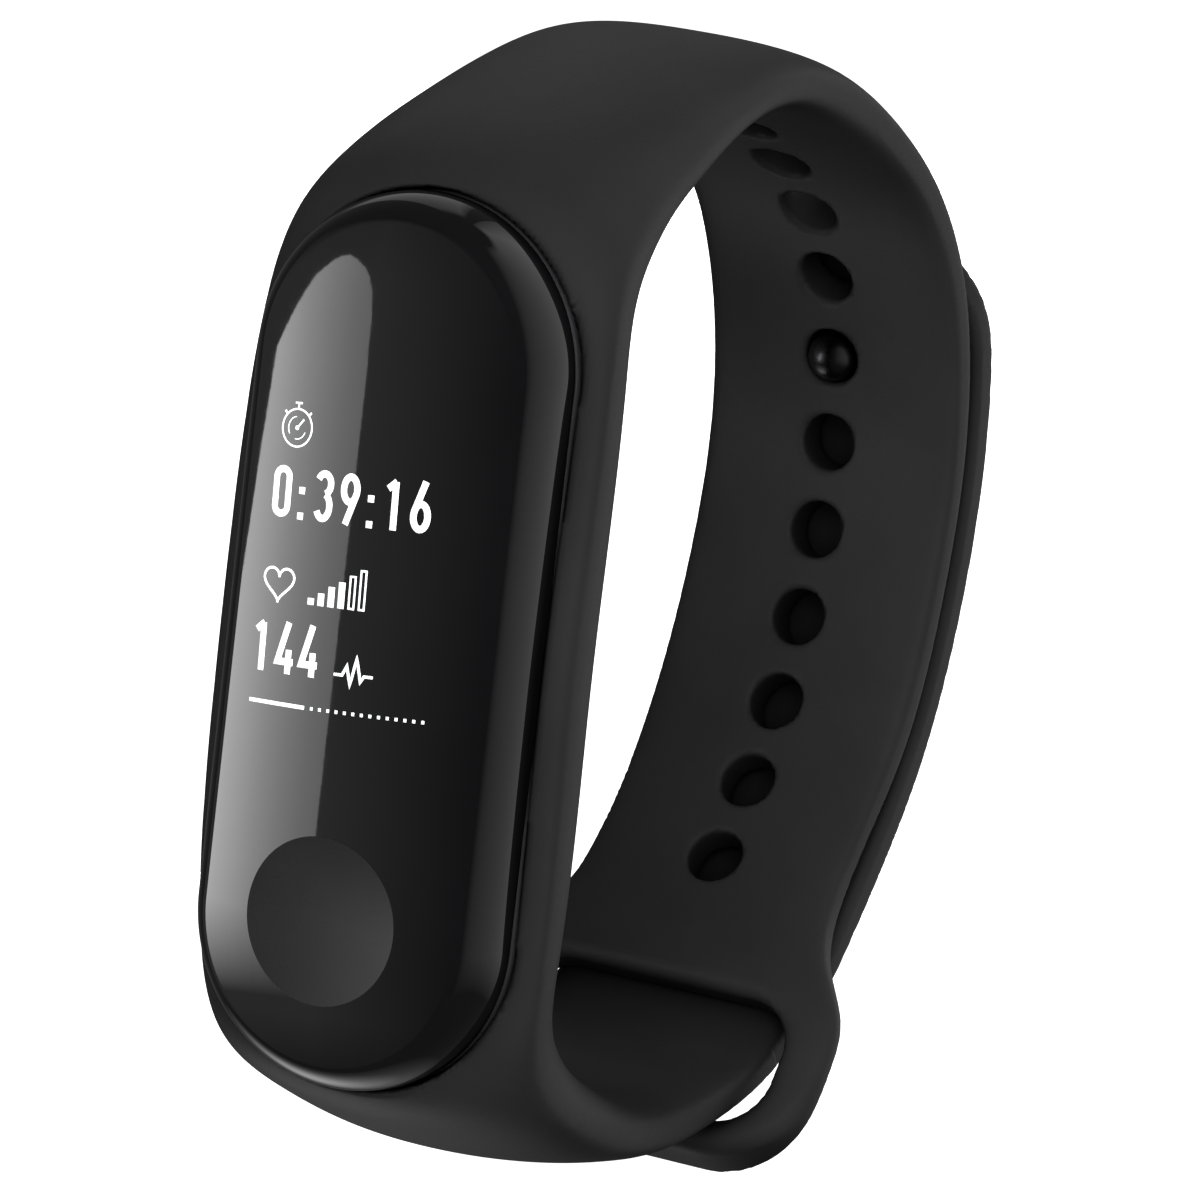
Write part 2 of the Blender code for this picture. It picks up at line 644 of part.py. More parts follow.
def battery_parts():
    add_object("battery_tape", block((-4.4, 4.4), (2.62, 2.78), (-9.5, 9.5), 0.0), tape_grey())
    add_object("battery_cell", block((-5.5, 5.5), (2.95, 5.6), (-11.4, 10.4), 0.5), foil())
    add_object("battery_leads", block((-2.2, 2.2), (2.95, 3.35), (10.65, 11.6), 0.05), gold())


def antenna():
    """A thin metal band that follows the case's lower round end."""
    bm = bmesh.new()
    centre, outer, inner = -(21.0 - 6.4), 6.4, 6.15
    outline = []
    for radius, angles in ((outer, range(190, 351, 16)), (inner, range(350, 189, -16))):
        for angle in angles:
            turn = math.radians(angle)
            outline.append((radius * math.cos(turn), centre + radius * math.sin(turn)))
    skin(bm, [[(x, y, z) for x, z in outline] for y in (2.8, 4.6)])
    add_object("antenna", bm, gold())


def vibration_motor():
    x, z = MOTOR_CENTRE
    can = add_object("motor_can", disc(MOTOR_RADIUS, 2.75, 5.3, x, z, 28), steel())
    cut(can, disc(MOTOR_RADIUS - 0.3, 2.0, 5.0, x, z, 28), "guide_motor_hollow")
    add_object("motor_base", disc(3.4, 2.75, 3.0, x, z), steel())
    add_object("motor_shaft", disc(0.4, 3.2, 4.85, x, z, 12), steel())

    bm = bmesh.new()
    outline = []
    for radius, angles in ((3.3, range(-15, 196, 15)), (0.7, range(195, -16, -15))):
        for angle in angles:
            turn = math.radians(angle)
            outline.append((x + radius * math.cos(turn), z + radius * math.sin(turn)))
    skin(bm, [[(px, y, pz) for px, pz in outline] for y in (3.3, 4.7)])
    add_object("motor_weight", bm, steel(), origin=(x, 4.0, z))


def sensor_parts():
    add_object("sensor_board", capsule_body([(5.85, 0.0), (6.3, 0.0)], 3.5, 6.6), board_green())
    for side, name in ((-1, "sensor_led_top"), (1, "sensor_led_low")):
        add_object(name, block((-0.6, 0.6), (6.5, 7.2), (-side * 2.0 - 0.5, -side * 2.0 + 0.5), 0.05),
                   material("led", (0.1, 0.8, 0.3), 0.3), smooth=False)
    add_object("sensor_photodiode", block((-0.9, 0.9), (6.5, 7.1), (-0.7, 0.7), 0.05), chip_black(),
               smooth=False)
    add_object("sensor_light_wall", ring_plate(2.95, 2.75, 6.5, 7.9), case_plastic())


def contact_springs():
    for side, name in ((-1, "contact_spring_left"), (1, "contact_spring_right")):
        add_object(name, disc(0.55, 2.7, 6.05, side * CONTACT_X, CONTACT_Z, 12), gold())


def main():
    clear_scene()
    place_frame()
    strap_body()
    strap_tail()
    clasp_stud()
    clasp_cap()
    front_lens()
    lens_gasket()
    tracker_case()
    sensor_window()
    window_adhesive()
    charge_contacts()
    display_parts()
    inner_frame()
    main_board_and_chips()
    battery_parts()
    antenna()
    vibration_motor()
    sensor_parts()
    contact_springs()


main()
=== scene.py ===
"""The looks of the fitness tracker band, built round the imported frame.

Shapes are drawn in millimetres in the CAD's drawing frame, whose y = 0 is the rim of the strap's
front opening, and `add_piece` moves them to the part's frame. The strap and its tail are swept
sections with rounded cuts, meshed from their distance field. The rest is lofted or turned.
"""
import json
import math

import bpy
import bmesh
import numpy as np
from mathutils import Matrix, Vector


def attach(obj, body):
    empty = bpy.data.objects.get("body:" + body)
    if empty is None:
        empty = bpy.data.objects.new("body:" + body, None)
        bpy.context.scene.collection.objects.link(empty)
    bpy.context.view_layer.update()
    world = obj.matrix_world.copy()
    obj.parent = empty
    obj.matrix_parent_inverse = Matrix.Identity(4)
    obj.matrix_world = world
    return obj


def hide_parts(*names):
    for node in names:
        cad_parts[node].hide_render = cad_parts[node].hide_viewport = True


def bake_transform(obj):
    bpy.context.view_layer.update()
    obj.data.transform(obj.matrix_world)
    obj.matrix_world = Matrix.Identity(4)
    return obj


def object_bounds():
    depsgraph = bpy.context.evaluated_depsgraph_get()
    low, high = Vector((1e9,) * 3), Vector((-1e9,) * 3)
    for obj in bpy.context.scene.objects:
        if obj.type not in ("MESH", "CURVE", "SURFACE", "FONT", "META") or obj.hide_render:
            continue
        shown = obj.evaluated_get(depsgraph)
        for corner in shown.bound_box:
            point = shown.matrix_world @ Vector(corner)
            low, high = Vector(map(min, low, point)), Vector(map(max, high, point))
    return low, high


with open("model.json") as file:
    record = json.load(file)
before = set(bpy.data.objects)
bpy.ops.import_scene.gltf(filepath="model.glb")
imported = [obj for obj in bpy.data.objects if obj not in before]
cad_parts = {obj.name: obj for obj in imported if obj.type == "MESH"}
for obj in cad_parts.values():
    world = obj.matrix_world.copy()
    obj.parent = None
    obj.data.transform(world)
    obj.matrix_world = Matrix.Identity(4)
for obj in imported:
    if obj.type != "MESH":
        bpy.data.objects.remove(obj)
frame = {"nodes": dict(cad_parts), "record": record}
cad_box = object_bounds()

MM = 0.001
RIM_TO_ORIGIN = 9.4          # the drawing frame's y = 0 lies this far in front of the part's origin

# The strap's side view, close to the CAD's: outer y and z, inner y and z, half the width, the depth of
# the widest point as a part of the thickness, and how round the outer and the inner side are.
STRAP_ROWS = (
    ("keeper_end", 32.9, -32.1, 29.4, -29.9, 11.0, 0.50, 0.60, 0.60),
    ("keeper_low", 33.4, -29.9, 30.4, -28.0, 11.3, 0.50, 0.60, 0.60),
    ("keeper_middle", 34.9, -26.7, 32.2, -24.9, 11.3, 0.50, 0.60, 0.60),
    ("keeper_top", 37.0, -23.2, 34.6, -21.6, 10.7, 0.50, 0.60, 0.60),
    ("keeper_neck", 38.7, -20.9, 36.5, -19.4, 8.8, 0.50, 0.45, 0.45),
    ("arm_0", 41.2, -17.2, 39.3, -16.0, 7.7, 0.50, 0.35, 0.35),
    ("arm_1", 46.4, -9.1, 44.3, -8.1, 7.8, 0.50, 0.35, 0.35),
    ("arm_2", 48.9, -0.7, 46.6, -0.2, 7.8, 0.50, 0.35, 0.35),
    ("arm_3", 49.5, 6.2, 47.2, 6.2, 7.8, 0.50, 0.35, 0.35),
    ("arm_4", 48.8, 12.2, 46.4, 11.5, 7.8, 0.50, 0.35, 0.35),
    ("arm_5", 46.2, 18.4, 44.1, 17.1, 7.8, 0.50, 0.35, 0.35),
    ("arm_6", 42.9, 22.6, 41.1, 20.7, 7.7, 0.50, 0.38, 0.38),
    ("top_0", 37.4, 26.5, 35.9, 24.1, 7.7, 0.50, 0.42, 0.40),
    ("top_1", 30.7, 29.8, 29.4, 26.6, 7.6, 0.50, 0.60, 0.45),
    ("top_2", 24.0, 31.0, 23.6, 27.5, 7.8, 0.50, 0.85, 0.50),
    ("top_3", 17.1, 30.1, 18.0, 26.1, 8.2, 0.50, 1.00, 0.60),
    ("top_4", 10.0, 28.2, 13.8, 23.6, 8.7, 0.50, 1.05, 0.70),
    ("brow", 4.4, 26.1, 10.7, 20.9, 9.2, 0.48, 1.05, 0.80),
    ("rim_top", 0.9, 23.6, 9.4, 17.7, 9.7, 0.40, 1.05, 0.90),
    ("front_top", 0.3, 17.2, 9.1, 13.0, 10.3, 0.22, 0.90, 0.92),
    ("front_middle", 0.1, 0.0, 9.0, 0.0, 10.5, 0.18, 0.55, 0.92),
    ("front_low", 0.3, -17.2, 9.1, -13.0, 10.3, 0.22, 0.85, 0.92),
    ("rim_low", 0.9, -23.6, 9.4, -17.9, 9.8, 0.38, 1.00, 0.90),
    ("chin", 4.7, -26.0, 11.2, -20.9, 9.6, 0.40, 1.05, 0.80),
    ("low_0", 10.0, -28.0, 14.7, -23.3, 9.1, 0.46, 0.95, 0.70),
    ("low_1", 17.0, -28.9, 19.0, -25.3, 8.3, 0.47, 0.65, 0.60),
    ("low_2", 24.0, -29.1, 24.3, -26.3, 7.8, 0.50, 0.50, 0.50),
    ("low_3", 30.0, -27.8, 29.4, -25.7, 7.9, 0.50, 0.40, 0.40),
    ("through", 35.5, -26.1, 34.4, -24.3, 7.7, 0.50, 0.35, 0.35),
    ("tail_foot", 40.1, -23.1, 38.4, -21.6, 7.7, 0.50, 0.35, 0.35),
)
TAIL_COUNTS = (0.0, 1.0, 2.0, 3.0, 4.0, 5.0, 5.5)   # the tail's rows, as rows past arm_0
TAIL_TIP = 5.13              # where the tail ends, in the same count
TAIL_GAP = 0.45              # between the holed arm and the tail that lies on it
TAIL_THICKNESS = 2.4
TAIL_HALF_WIDTH = 7.9

HOLE_RADIUS = 1.6
HOLE_PITCH = 4.95
HOLE_COUNT = 12
FIRST_HOLE = 17.2            # along the inner side, from the keeper's end to the lowest hole
STUD_HOLE = 6                # holes below the one that the stud sits in
STUD_SHANK = 1.2             # radius
STUD_HEAD = 1.42             # radius

SLOT_HALF_WIDTH = 8.7
SLOT_CORNER = 3.0
SLOT_FROM, SLOT_TO = 2.0, 9.4    # along the keeper, from its end
SLOT_MIDDLE, SLOT_REACH = 1.5, 4.5   # where the cut lies through the keeper, and how far it goes
KEEPER_HALF_WIDTH = 12.0         # of the rounded outline that the keeper's end is cut to
KEEPER_CORNER = 6.6
KEEPER_RUN = 30.0                # along the keeper, past which that outline has no say
KEEPER_DEPTH = 8.0               # into the wrist's side, past which it has none either

CAPSULE_HALF_WIDTH = 8.95
CAPSULE_HALF_LENGTH = 23.4
POCKET_GAP = 0.1
POCKET_FLOOR = 7.3
POCKET_ROUND = 5.0               # radius between the pocket's side and its floor
BACK_OPENING = (5.1, 18.0)       # half width and half length
BACK_OPENING_Y = (5.5, 12.5)
KEEPER_EDGE = 1.0                # how round these edges are: the keeper's outline and slot
HOLE_EDGE = 0.2
LIP_EDGE = 0.25                  # the rim of the front opening
BACK_EDGE = 0.5
TIP_EDGE = 0.8
STUD_EDGE = 0.15
DIMPLE_CENTRE = (-0.3, -14.25)
DIMPLE_RADIUS = 4.4
DIMPLE_DEPTH = 0.4

GRID_STEP = 0.3
GRID_HALF_WIDTH = 12.6       # a little past the widest part of the keeper
FAR = 5.0                    # a distance that stands for anywhere far from the strap
SEAM_DIP = 0.06              # how far each skin sinks into the other by its own end
SEAM_LAP = 5.0               # length over which the two skins lie on each other
OVERLAP = 1.5                # how far the strap's two halves run on past the middle of the front
STRAP_BOX = (-2.5, -34.5), (52.5, 34.0)      # low and high y and z of the grid that meshes it
TAIL_BOX = (26.5, -31.0), (55.0, 26.0)


# ---------------------------------------------------------------- the strap's path

class StrapPath:
    """A smooth curve through the rows, read by the length along the strap's middle line."""

    def __init__(self, rows):
        self.rows = np.asarray(rows, float)
        middles = (self.rows[:, 0:2] + self.rows[:, 2:4]) / 2
        steps = np.linalg.norm(np.diff(middles, axis=0), axis=1)
        self.lengths = np.concatenate([[0.0], np.cumsum(steps)])
        count = len(self.rows)
        system = np.eye(count)
        right = np.zeros_like(self.rows)
        for i in range(1, count - 1):
            before, after = steps[i - 1], steps[i]
            system[i, i - 1:i + 2] = before, 2 * (before + after), after
            right[i] = 6 * ((self.rows[i + 1] - self.rows[i]) / after
                            - (self.rows[i] - self.rows[i - 1]) / before)
        self.bends = np.linalg.solve(system, right)

    def at(self, lengths, columns=8):
        """The rows at some lengths. Past either end the strap runs on straight."""
        lengths = np.asarray(lengths, float)
        inside = np.clip(lengths, self.lengths[0], self.lengths[-1])
        i = np.clip(np.searchsorted(self.lengths, inside, side="right") - 1, 0, len(self.rows) - 2)
        step = (self.lengths[i + 1] - self.lengths[i])[..., None]
        low = (self.lengths[i + 1] - inside)[..., None] / step
        high = 1.0 - low
        rows, bends = self.rows[:, :columns], self.bends[:, :columns]
        made = (low * rows[i] + high * rows[i + 1]
                + ((low**3 - low) * bends[i] + (high**3 - high) * bends[i + 1]) * step**2 / 6)
        past = lengths != inside
        if past.any():
            slope = ((rows[i + 1] - rows[i]) / step
                     + ((3 * high**2 - 1) * bends[i + 1] - (3 * low**2 - 1) * bends[i]) * step / 6)
            made = made + slope * (lengths - inside)[..., None]
        return made

    def place(self, length):
        """Outer point, inner point, unit vector out of the strap and unit vector along it."""
        row = self.at(length)
        ahead = (self.at(length + 0.05) - self.at(length - 0.05))[2:4]
        along = ahead / np.linalg.norm(ahead)
        outward = np.array([along[1], -along[0]])
        if outward @ (row[0:2] - row[2:4]) < 0:
            outward = -outward
        return row[0:2], row[2:4], outward, along

    def locate(self, points, low, high):
        """For points of the side view: the length along the strap and the depth, 0 at its outer
        side and 1 at its inner side. A point that isn't beside this stretch gets NaN."""
        marks = np.linspace(low, high, int((high - low) / 1.2) + 2)
        rows = self.at(marks, 4)
        outer, through = rows[:, 0:2], rows[:, 2:4] - rows[:, 0:2]
        across = np.stack([through[:, 1], -through[:, 0]])
        inward = (through / (through**2).sum(1)[:, None]).T
        found = np.full(len(points), np.nan)
        for start in range(0, len(points), 20000):
            part = points[start:start + 20000]
            side = part @ across - (outer.T * across).sum(0)
            depth = part @ inward - (outer.T * inward).sum(0)
            off = np.abs(depth[:, :-1] + depth[:, 1:] - 1.0)
            off[side[:, :-1] * side[:, 1:] > 0] = np.inf
            pick = off.argmin(1)
            row = np.arange(len(part))
            before, after = side[row, pick], side[row, pick + 1]
            step = np.divide(before, before - after, out=np.zeros_like(before), where=before != after)
            length = marks[pick] + step * (marks[1] - marks[0])
            found[start:start + 20000] = np.where(np.isfinite(off[row, pick]), length, np.nan)
        known = np.isfinite(found)
        lengths = np.where(known, found, low)
        for _ in range(2):
            side, slope = self.side_of(points, lengths)
            lengths = lengths - np.clip(side / np.where(slope == 0, 1.0, slope), -0.6, 0.6)
        rows = self.at(lengths, 4)
        through = rows[:, 2:4] - rows[:, 0:2]
        depth = ((points - rows[:, 0:2]) * through).sum(1) / (through**2).sum(1)
        return np.where(known, lengths, np.nan), depth

    def side_of(self, points, lengths):
        """How far points are from the section line at some lengths, and that distance's slope."""
        def offset(at_lengths):
            rows = self.at(at_lengths, 4)
            through = rows[:, 2:4] - rows[:, 0:2]
            through /= np.linalg.norm(through, axis=1)[:, None]
            rel = points - rows[:, 0:2]
            return rel[:, 0] * through[:, 1] - rel[:, 1] * through[:, 0]
        here = offset(lengths)
        return here, (offset(lengths + 0.01) - here) / 0.01


ROW_NAMES = [row[0] for row in STRAP_ROWS]
ARM = StrapPath([row[1:] for row in STRAP_ROWS])


def row_length(name):
    return float(PATH.lengths[ROW_NAMES.index(name)])


def tail_rows():
    """The tail's rows: it lies on the outer side of the holed arm, a small gap away."""
    rows = []
    first = ROW_NAMES.index("arm_0")
    for count in TAIL_COUNTS:
        length = np.interp(first + count, np.arange(len(ARM.lengths)), ARM.lengths)
        outer, _, outward, _ = ARM.place(length)
        inner = outer + TAIL_GAP * outward
        rows.append([*(inner + TAIL_THICKNESS * outward), *inner, TAIL_HALF_WIDTH, 0.5, 0.35, 0.35])
    return rows


PATH = StrapPath([row[1:] for row in STRAP_ROWS] + tail_rows())


def length_along_inner(run):
    """The path length where the inner side has run some way from the keeper's end."""
    fine = np.arange(0.0, PATH.lengths[-1], 0.1)
    steps = np.linalg.norm(np.diff(PATH.at(fine)[:, 2:4], axis=0), axis=1)
    return float(np.interp(run, np.concatenate([[0.0], np.cumsum(steps)]), fine))


def hole_frame(number):
    """Outer point, inner point, outward and along, at a hole counted from the lowest."""
    return PATH.place(length_along_inner(FIRST_HOLE + number * HOLE_PITCH))


def tail_length_beside(point):
    """The path length on the tail whose inner side is nearest to a point."""
    fine = np.arange(row_length("tail_foot"), PATH.lengths[-1], 0.05)
    return float(fine[np.argmin(np.linalg.norm(PATH.at(fine)[:, 2:4] - point, axis=1))])


# ---------------------------------------------------------------- distance fields

def round_intersection(a, b, radius):
    """Where both fields are inside, with the edge between them rounded."""
    return (np.minimum(-radius, np.maximum(a, b))
            + np.hypot(np.maximum(a + radius, 0.0), np.maximum(b + radius, 0.0)))


def round_cut(body, tool, radius):
    return round_intersection(body, -tool, radius)


def sweep_field(x, side_view, low, high, near, dip=None):
    """The distance to the swept strap between two lengths, for the points that may be near it. x is
    broadcast against the points, and the skin sinks between the two lengths of dip."""
    result = np.full(np.broadcast(x, side_view[:, 0]).shape, FAR)
    x = x if np.ndim(x) == 2 else x[near]
    result[..., near] = near_sweep_field(x, side_view[near], low, high, dip)
    return result


def near_sweep_field(x, side_view, low, high, dip):
    """The section's own measure, 0 on the surface, over its slope, which four samples give."""
    nudge = 0.02
    fields = []
    for dx, dy, dz in ((0, 0, 0), (nudge, 0, 0), (0, nudge, 0), (0, 0, nudge)):
        if dx == 0:
            lengths, depth = PATH.locate(side_view + np.array([dy, dz]), low, high)
            rows = PATH.at(np.nan_to_num(lengths, nan=low))
            if dy == dz == 0:
                known, here, beside = np.isfinite(lengths), (depth, rows), lengths
        else:
            depth, rows = here
        half, widest, outer_round, inner_round = rows[:, 4:8].T
        outside = depth < widest
        swell = np.where(outside, (widest - depth) / widest, (depth - widest) / (1 - widest))
        power = 2.0 / np.where(outside, outer_round, inner_round)
        across = np.abs(x + dx) / half
        fields.append((across**power + np.abs(swell)**power)**(1 / power) - 1)
    base = fields[0]
    slope = np.sqrt(sum((moved - base)**2 for moved in fields[1:])) / nudge
    distance = base / np.maximum(slope, 0.02)
    if dip:
        share = (np.nan_to_num(beside, nan=low) - dip[0]) / (dip[1] - dip[0])
        distance = distance + SEAM_DIP * np.clip(share, 0.0, 1.0)
    return np.where(known, distance, FAR)


def capsule_field(x, z, half_width, half_length):
    straight = half_length - half_width
    return np.hypot(x, z - np.clip(z, -straight, straight)) - half_width


def rounded_box_field(x, run, half_width, low, high, corner):
    beside = np.abs(x) - half_width + corner
    past = np.abs(run - (low + high) / 2) - (high - low) / 2 + corner
    return (np.hypot(np.maximum(beside, 0), np.maximum(past, 0))
            + np.minimum(np.maximum(beside, past), 0) - corner)


def keeper_frame():
    """The keeper's inner end point, and the directions out of it and along it."""
    origin = PATH.at(0.0)[2:4]
    far = PATH.at(row_length("keeper_top"))[2:4]
    along = (far - origin) / np.linalg.norm(far - origin)
    return origin, np.array([along[1], -along[0]]), along


def holes_field(x, side_view):
    nearest = np.full(np.broadcast(x, side_view[:, 0]).shape, FAR)
    for number in range(HOLE_COUNT):
        outer, inner, outward, along = hole_frame(number)
        middle = (outer + inner) / 2
        run = (side_view - middle) @ along
        reach = np.abs((side_view - middle) @ outward) - 2.6
        nearest = np.minimum(nearest, np.maximum(np.hypot(x, run) - HOLE_RADIUS, reach))
    return nearest


SEAM = row_length("through")         # where the strap's own piece ends
SEAM_START = SEAM - SEAM_LAP         # where the tail's skin begins


def strap_field(x, side_view):
    """The whole strap up to the seam: keeper, holed arm, cradle and lower arm."""
    y, z = side_view.T
    middle = row_length("front_middle")
    upper = sweep_field(x, side_view, -2.0, middle + OVERLAP, (z > -3.0) | (y > 24.0))
    origin, outward, along = keeper_frame()
    run = (side_view - origin) @ along
    reach = (side_view - origin) @ outward
    end = rounded_box_field(x, run, KEEPER_HALF_WIDTH, 0.0, 3 * KEEPER_RUN, KEEPER_CORNER)
    end = np.where((reach > -KEEPER_DEPTH) & (run < KEEPER_RUN), end, -FAR)
    upper = round_intersection(upper, end, KEEPER_EDGE)
    slot = rounded_box_field(x, run, SLOT_HALF_WIDTH, SLOT_FROM, SLOT_TO, SLOT_CORNER)
    slot = np.maximum(slot, np.abs(reach - SLOT_MIDDLE) - SLOT_REACH)
    upper = round_cut(upper, slot, KEEPER_EDGE)
    upper = round_cut(upper, holes_field(x, side_view), HOLE_EDGE)
    lower = sweep_field(x, side_view, middle - OVERLAP, SEAM, z < 3.0, (SEAM_START, SEAM))
    body = np.minimum(upper, lower)
    pocket = capsule_field(x, z, CAPSULE_HALF_WIDTH + POCKET_GAP, CAPSULE_HALF_LENGTH + POCKET_GAP)
    pocket = round_intersection(pocket, y - POCKET_FLOOR, POCKET_ROUND)
    body = round_cut(body, pocket, LIP_EDGE)
    between = np.maximum(BACK_OPENING_Y[0] - y, y - BACK_OPENING_Y[1])
    return round_cut(body, np.maximum(capsule_field(x, z, *BACK_OPENING), between), BACK_EDGE)


def tail_tip_length():
    """The path length where the tail ends."""
    rows_past = ROW_NAMES.index("arm_0") + TAIL_TIP
    beside = np.interp(rows_past, np.arange(len(ARM.lengths)), ARM.lengths)
    return tail_length_beside(ARM.place(beside)[0])


def tail_field(x, side_view):
    """The tail, from the seam up over the holed arm to its round tip."""
    start, end = SEAM_START, PATH.lengths[-1]
    everywhere = np.ones(len(side_view), bool)
    body = sweep_field(x, side_view, start, end, everywhere, (SEAM, SEAM_START))
    lengths, _ = PATH.locate(side_view, start, end)
    tip = tail_tip_length()
    past = np.maximum(np.nan_to_num(lengths, nan=tip) - tip + TAIL_HALF_WIDTH, 0.0)
    body = round_intersection(body, np.hypot(x, past) - TAIL_HALF_WIDTH, TIP_EDGE)
    _, inner, _, along = hole_frame(STUD_HOLE)
    run = (side_view - inner) @ along
    return round_cut(body, np.hypot(x, run) - STUD_SHANK - 0.05, STUD_EDGE)


# ---------------------------------------------------------------- meshing a field

CORNERS = [(i, j, k) for i in (0, 1) for j in (0, 1) for k in (0, 1)]


def surface_net(values, origin, step):
    """Vertices and quads of the surface where a grid of values changes sign."""
    inside = values < 0
    shape = tuple(n - 1 for n in values.shape)

    def corner(array, i, j, k):
        return array[i:i + shape[0], j:j + shape[1], k:k + shape[2]]

    filled = sum(corner(inside, *c).astype(np.int8) for c in CORNERS)
    mixed = (filled > 0) & (filled < 8)
    cells = np.argwhere(mixed)
    number = np.full(shape, -1)
    number[mixed] = np.arange(len(cells))
    total = np.zeros((len(cells), 3))
    hits = np.zeros(len(cells))
    for axis in range(3):
        for c in CORNERS:
            if c[axis]:
                continue
            start = cells + c
            end = start + np.eye(3, dtype=int)[axis]
            a, b = values[tuple(start.T)], values[tuple(end.T)]
            crossing = (a < 0) != (b < 0)
            share = np.divide(a, a - b, out=np.zeros_like(a), where=crossing)
            point = np.array(c, float) + np.zeros((len(cells), 3))
            point[:, axis] += share
            total[crossing] += point[crossing]
            hits += crossing
    points = origin + (cells + total / hits[:, None]) * step

    quads = []
    for axis in range(3):
        one, two = [a for a in range(3) if a != axis]
        low = inside[tuple(slice(None, -1) if a == axis else slice(None) for a in range(3))]
        high = inside[tuple(slice(1, None) if a == axis else slice(None) for a in range(3))]
        edges = np.argwhere(low != high)
        edges = edges[(edges[:, one] > 0) & (edges[:, two] > 0)]
        edges = edges[(edges[:, one] < shape[one]) & (edges[:, two] < shape[two])]
        ring = []
        for back_one, back_two in ((1, 1), (0, 1), (0, 0), (1, 0)):
            cell = edges.copy()
            cell[:, one] -= back_one
            cell[:, two] -= back_two
            ring.append(number[tuple(cell.T)])
        quad = np.stack(ring, 1)
        flip = inside[tuple(edges.T)] == (axis == 1)
        quad[flip] = quad[flip][:, ::-1]
        quads.append(quad)
    return points, np.concatenate(quads)


def field_mesh(name, field, low, high):
    """A mesh of a field that is the same on both sides of x = 0, within a box of y and z. One half
    is meshed and pulled onto the surface, and the other is its mirror image."""
    step = GRID_STEP
    half = (np.arange(int(GRID_HALF_WIDTH / step)) - 0.5) * step
    ys = np.arange(low[0], high[0], step)
    zs = np.arange(low[1], high[1], step)
    side_view = np.stack(np.meshgrid(ys, zs, indexing="ij"), -1).reshape(-1, 2)
    values = field(half[:, None], side_view).reshape(len(half), len(ys), len(zs))
    points, quads = surface_net(values, np.array([half[0], low[0], low[1]]), step)
    on_middle = np.abs(points[:, 0]) < 1e-6
    points = pull_to_surface(field, points, step)
    points[on_middle, 0] = 0.0
    mirrored = points * np.array([-1.0, 1.0, 1.0])
    number = np.arange(len(points))
    number[~on_middle] = len(points) + np.arange((~on_middle).sum())
    points = np.concatenate([points, mirrored[~on_middle]])
    quads = np.concatenate([quads, number[quads][:, ::-1]])
    mesh = bpy.data.meshes.new(name)
    mesh.from_pydata(points.tolist(), [], quads.tolist())
    mesh.validate()
    return mesh


def pull_to_surface(field, points, step):
    """Moves points straight onto the surface of a field, each by less than half a step."""
    nudge = 0.02
    here = field(points[:, 0], points[:, 1:3])
    slope = np.stack([field(moved[:, 0], moved[:, 1:3]) - here
                      for moved in (points + nudge * np.eye(3)[axis] for axis in range(3))], 1) / nudge
    size = np.maximum((slope**2).sum(1), 0.25)[:, None]
    for last in (False, True):
        move = -here[:, None] * slope / size
        reach = np.linalg.norm(move, axis=1)[:, None]
        points = points + move * np.minimum(1.0, 0.5 * step / np.maximum(reach, 1e-9))
        if not last:
            here = field(points[:, 0], points[:, 1:3])
    return points


# ---------------------------------------------------------------- pieces

def add_piece(name, mesh, finish, stands_for=(), body=None):
    """Moves a mesh drawn in millimetres to the part's frame and makes it a piece of a body."""
    if isinstance(mesh, bmesh.types.BMesh):
        bmesh.ops.recalc_face_normals(mesh, faces=mesh.faces)
        made = bpy.data.meshes.new(name)
        mesh.to_mesh(made)
        mesh.free()
        mesh = made
    mesh.transform(Matrix.Diagonal((MM, MM, MM, 1.0)) @ Matrix.Translation((0, -RIM_TO_ORIGIN, 0)))
    mesh.materials.append(finish)
    mesh.shade_smooth()
    piece = bpy.data.objects.new(name, mesh)
    bpy.context.collection.objects.link(piece)
    if stands_for:
        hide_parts(*stands_for)
    if body:
        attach(piece, body)
    return piece


def join_rings(bm, rings):
    """Faces between each closed ring of points and the next one."""
    for one, two in zip(rings, rings[1:]):
        for i in range(len(one)):
            j = (i + 1) % len(one)
            bm.faces.new((one[i], one[j], two[j], two[i]))


def merge_points(bm):
    """Closes the rings that have shrunk to a point or a line."""
    bmesh.ops.remove_doubles(bm, verts=bm.verts, dist=1e-5)
    bmesh.ops.dissolve_degenerate(bm, edges=bm.edges, dist=1e-5)


def strap_pieces():
    finish = elastomer_finish()
    strap = field_mesh("strap_main", strap_field, *STRAP_BOX)
    add_piece("strap_main", strap, finish, ["strap_body"], "strap")
    tail = field_mesh("strap_tail_skin", tail_field, *TAIL_BOX)
    skin = add_piece("strap_tail_skin", tail, finish, ["strap_tail"])
    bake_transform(skin)


def turned(profile, base, outward, sides=64):
    """A closed round body along a line out of the strap; rows are height and radius, and the
    first and the last row may have no radius."""
    across = np.array([-outward[1], outward[0]])
    bm = bmesh.new()
    rings = []
    for height, radius in profile:
        y, z = base + outward * height
        if radius < 1e-6:
            rings.append([bm.verts.new((0.0, y, z))])
            continue
        ring = []
        for i in range(sides):
            angle = 2 * math.pi * i / sides
            py, pz = np.array([y, z]) + across * radius * math.sin(angle)
            ring.append(bm.verts.new((radius * math.cos(angle), py, pz)))
        rings.append(ring)
    for low, high in zip(rings, rings[1:]):
        for i in range(sides):
            j = (i + 1) % sides
            corners = [low[i % len(low)], low[j % len(low)], high[j % len(high)], high[i % len(high)]]
            bm.faces.new(list(dict.fromkeys(corners)))
    return bm


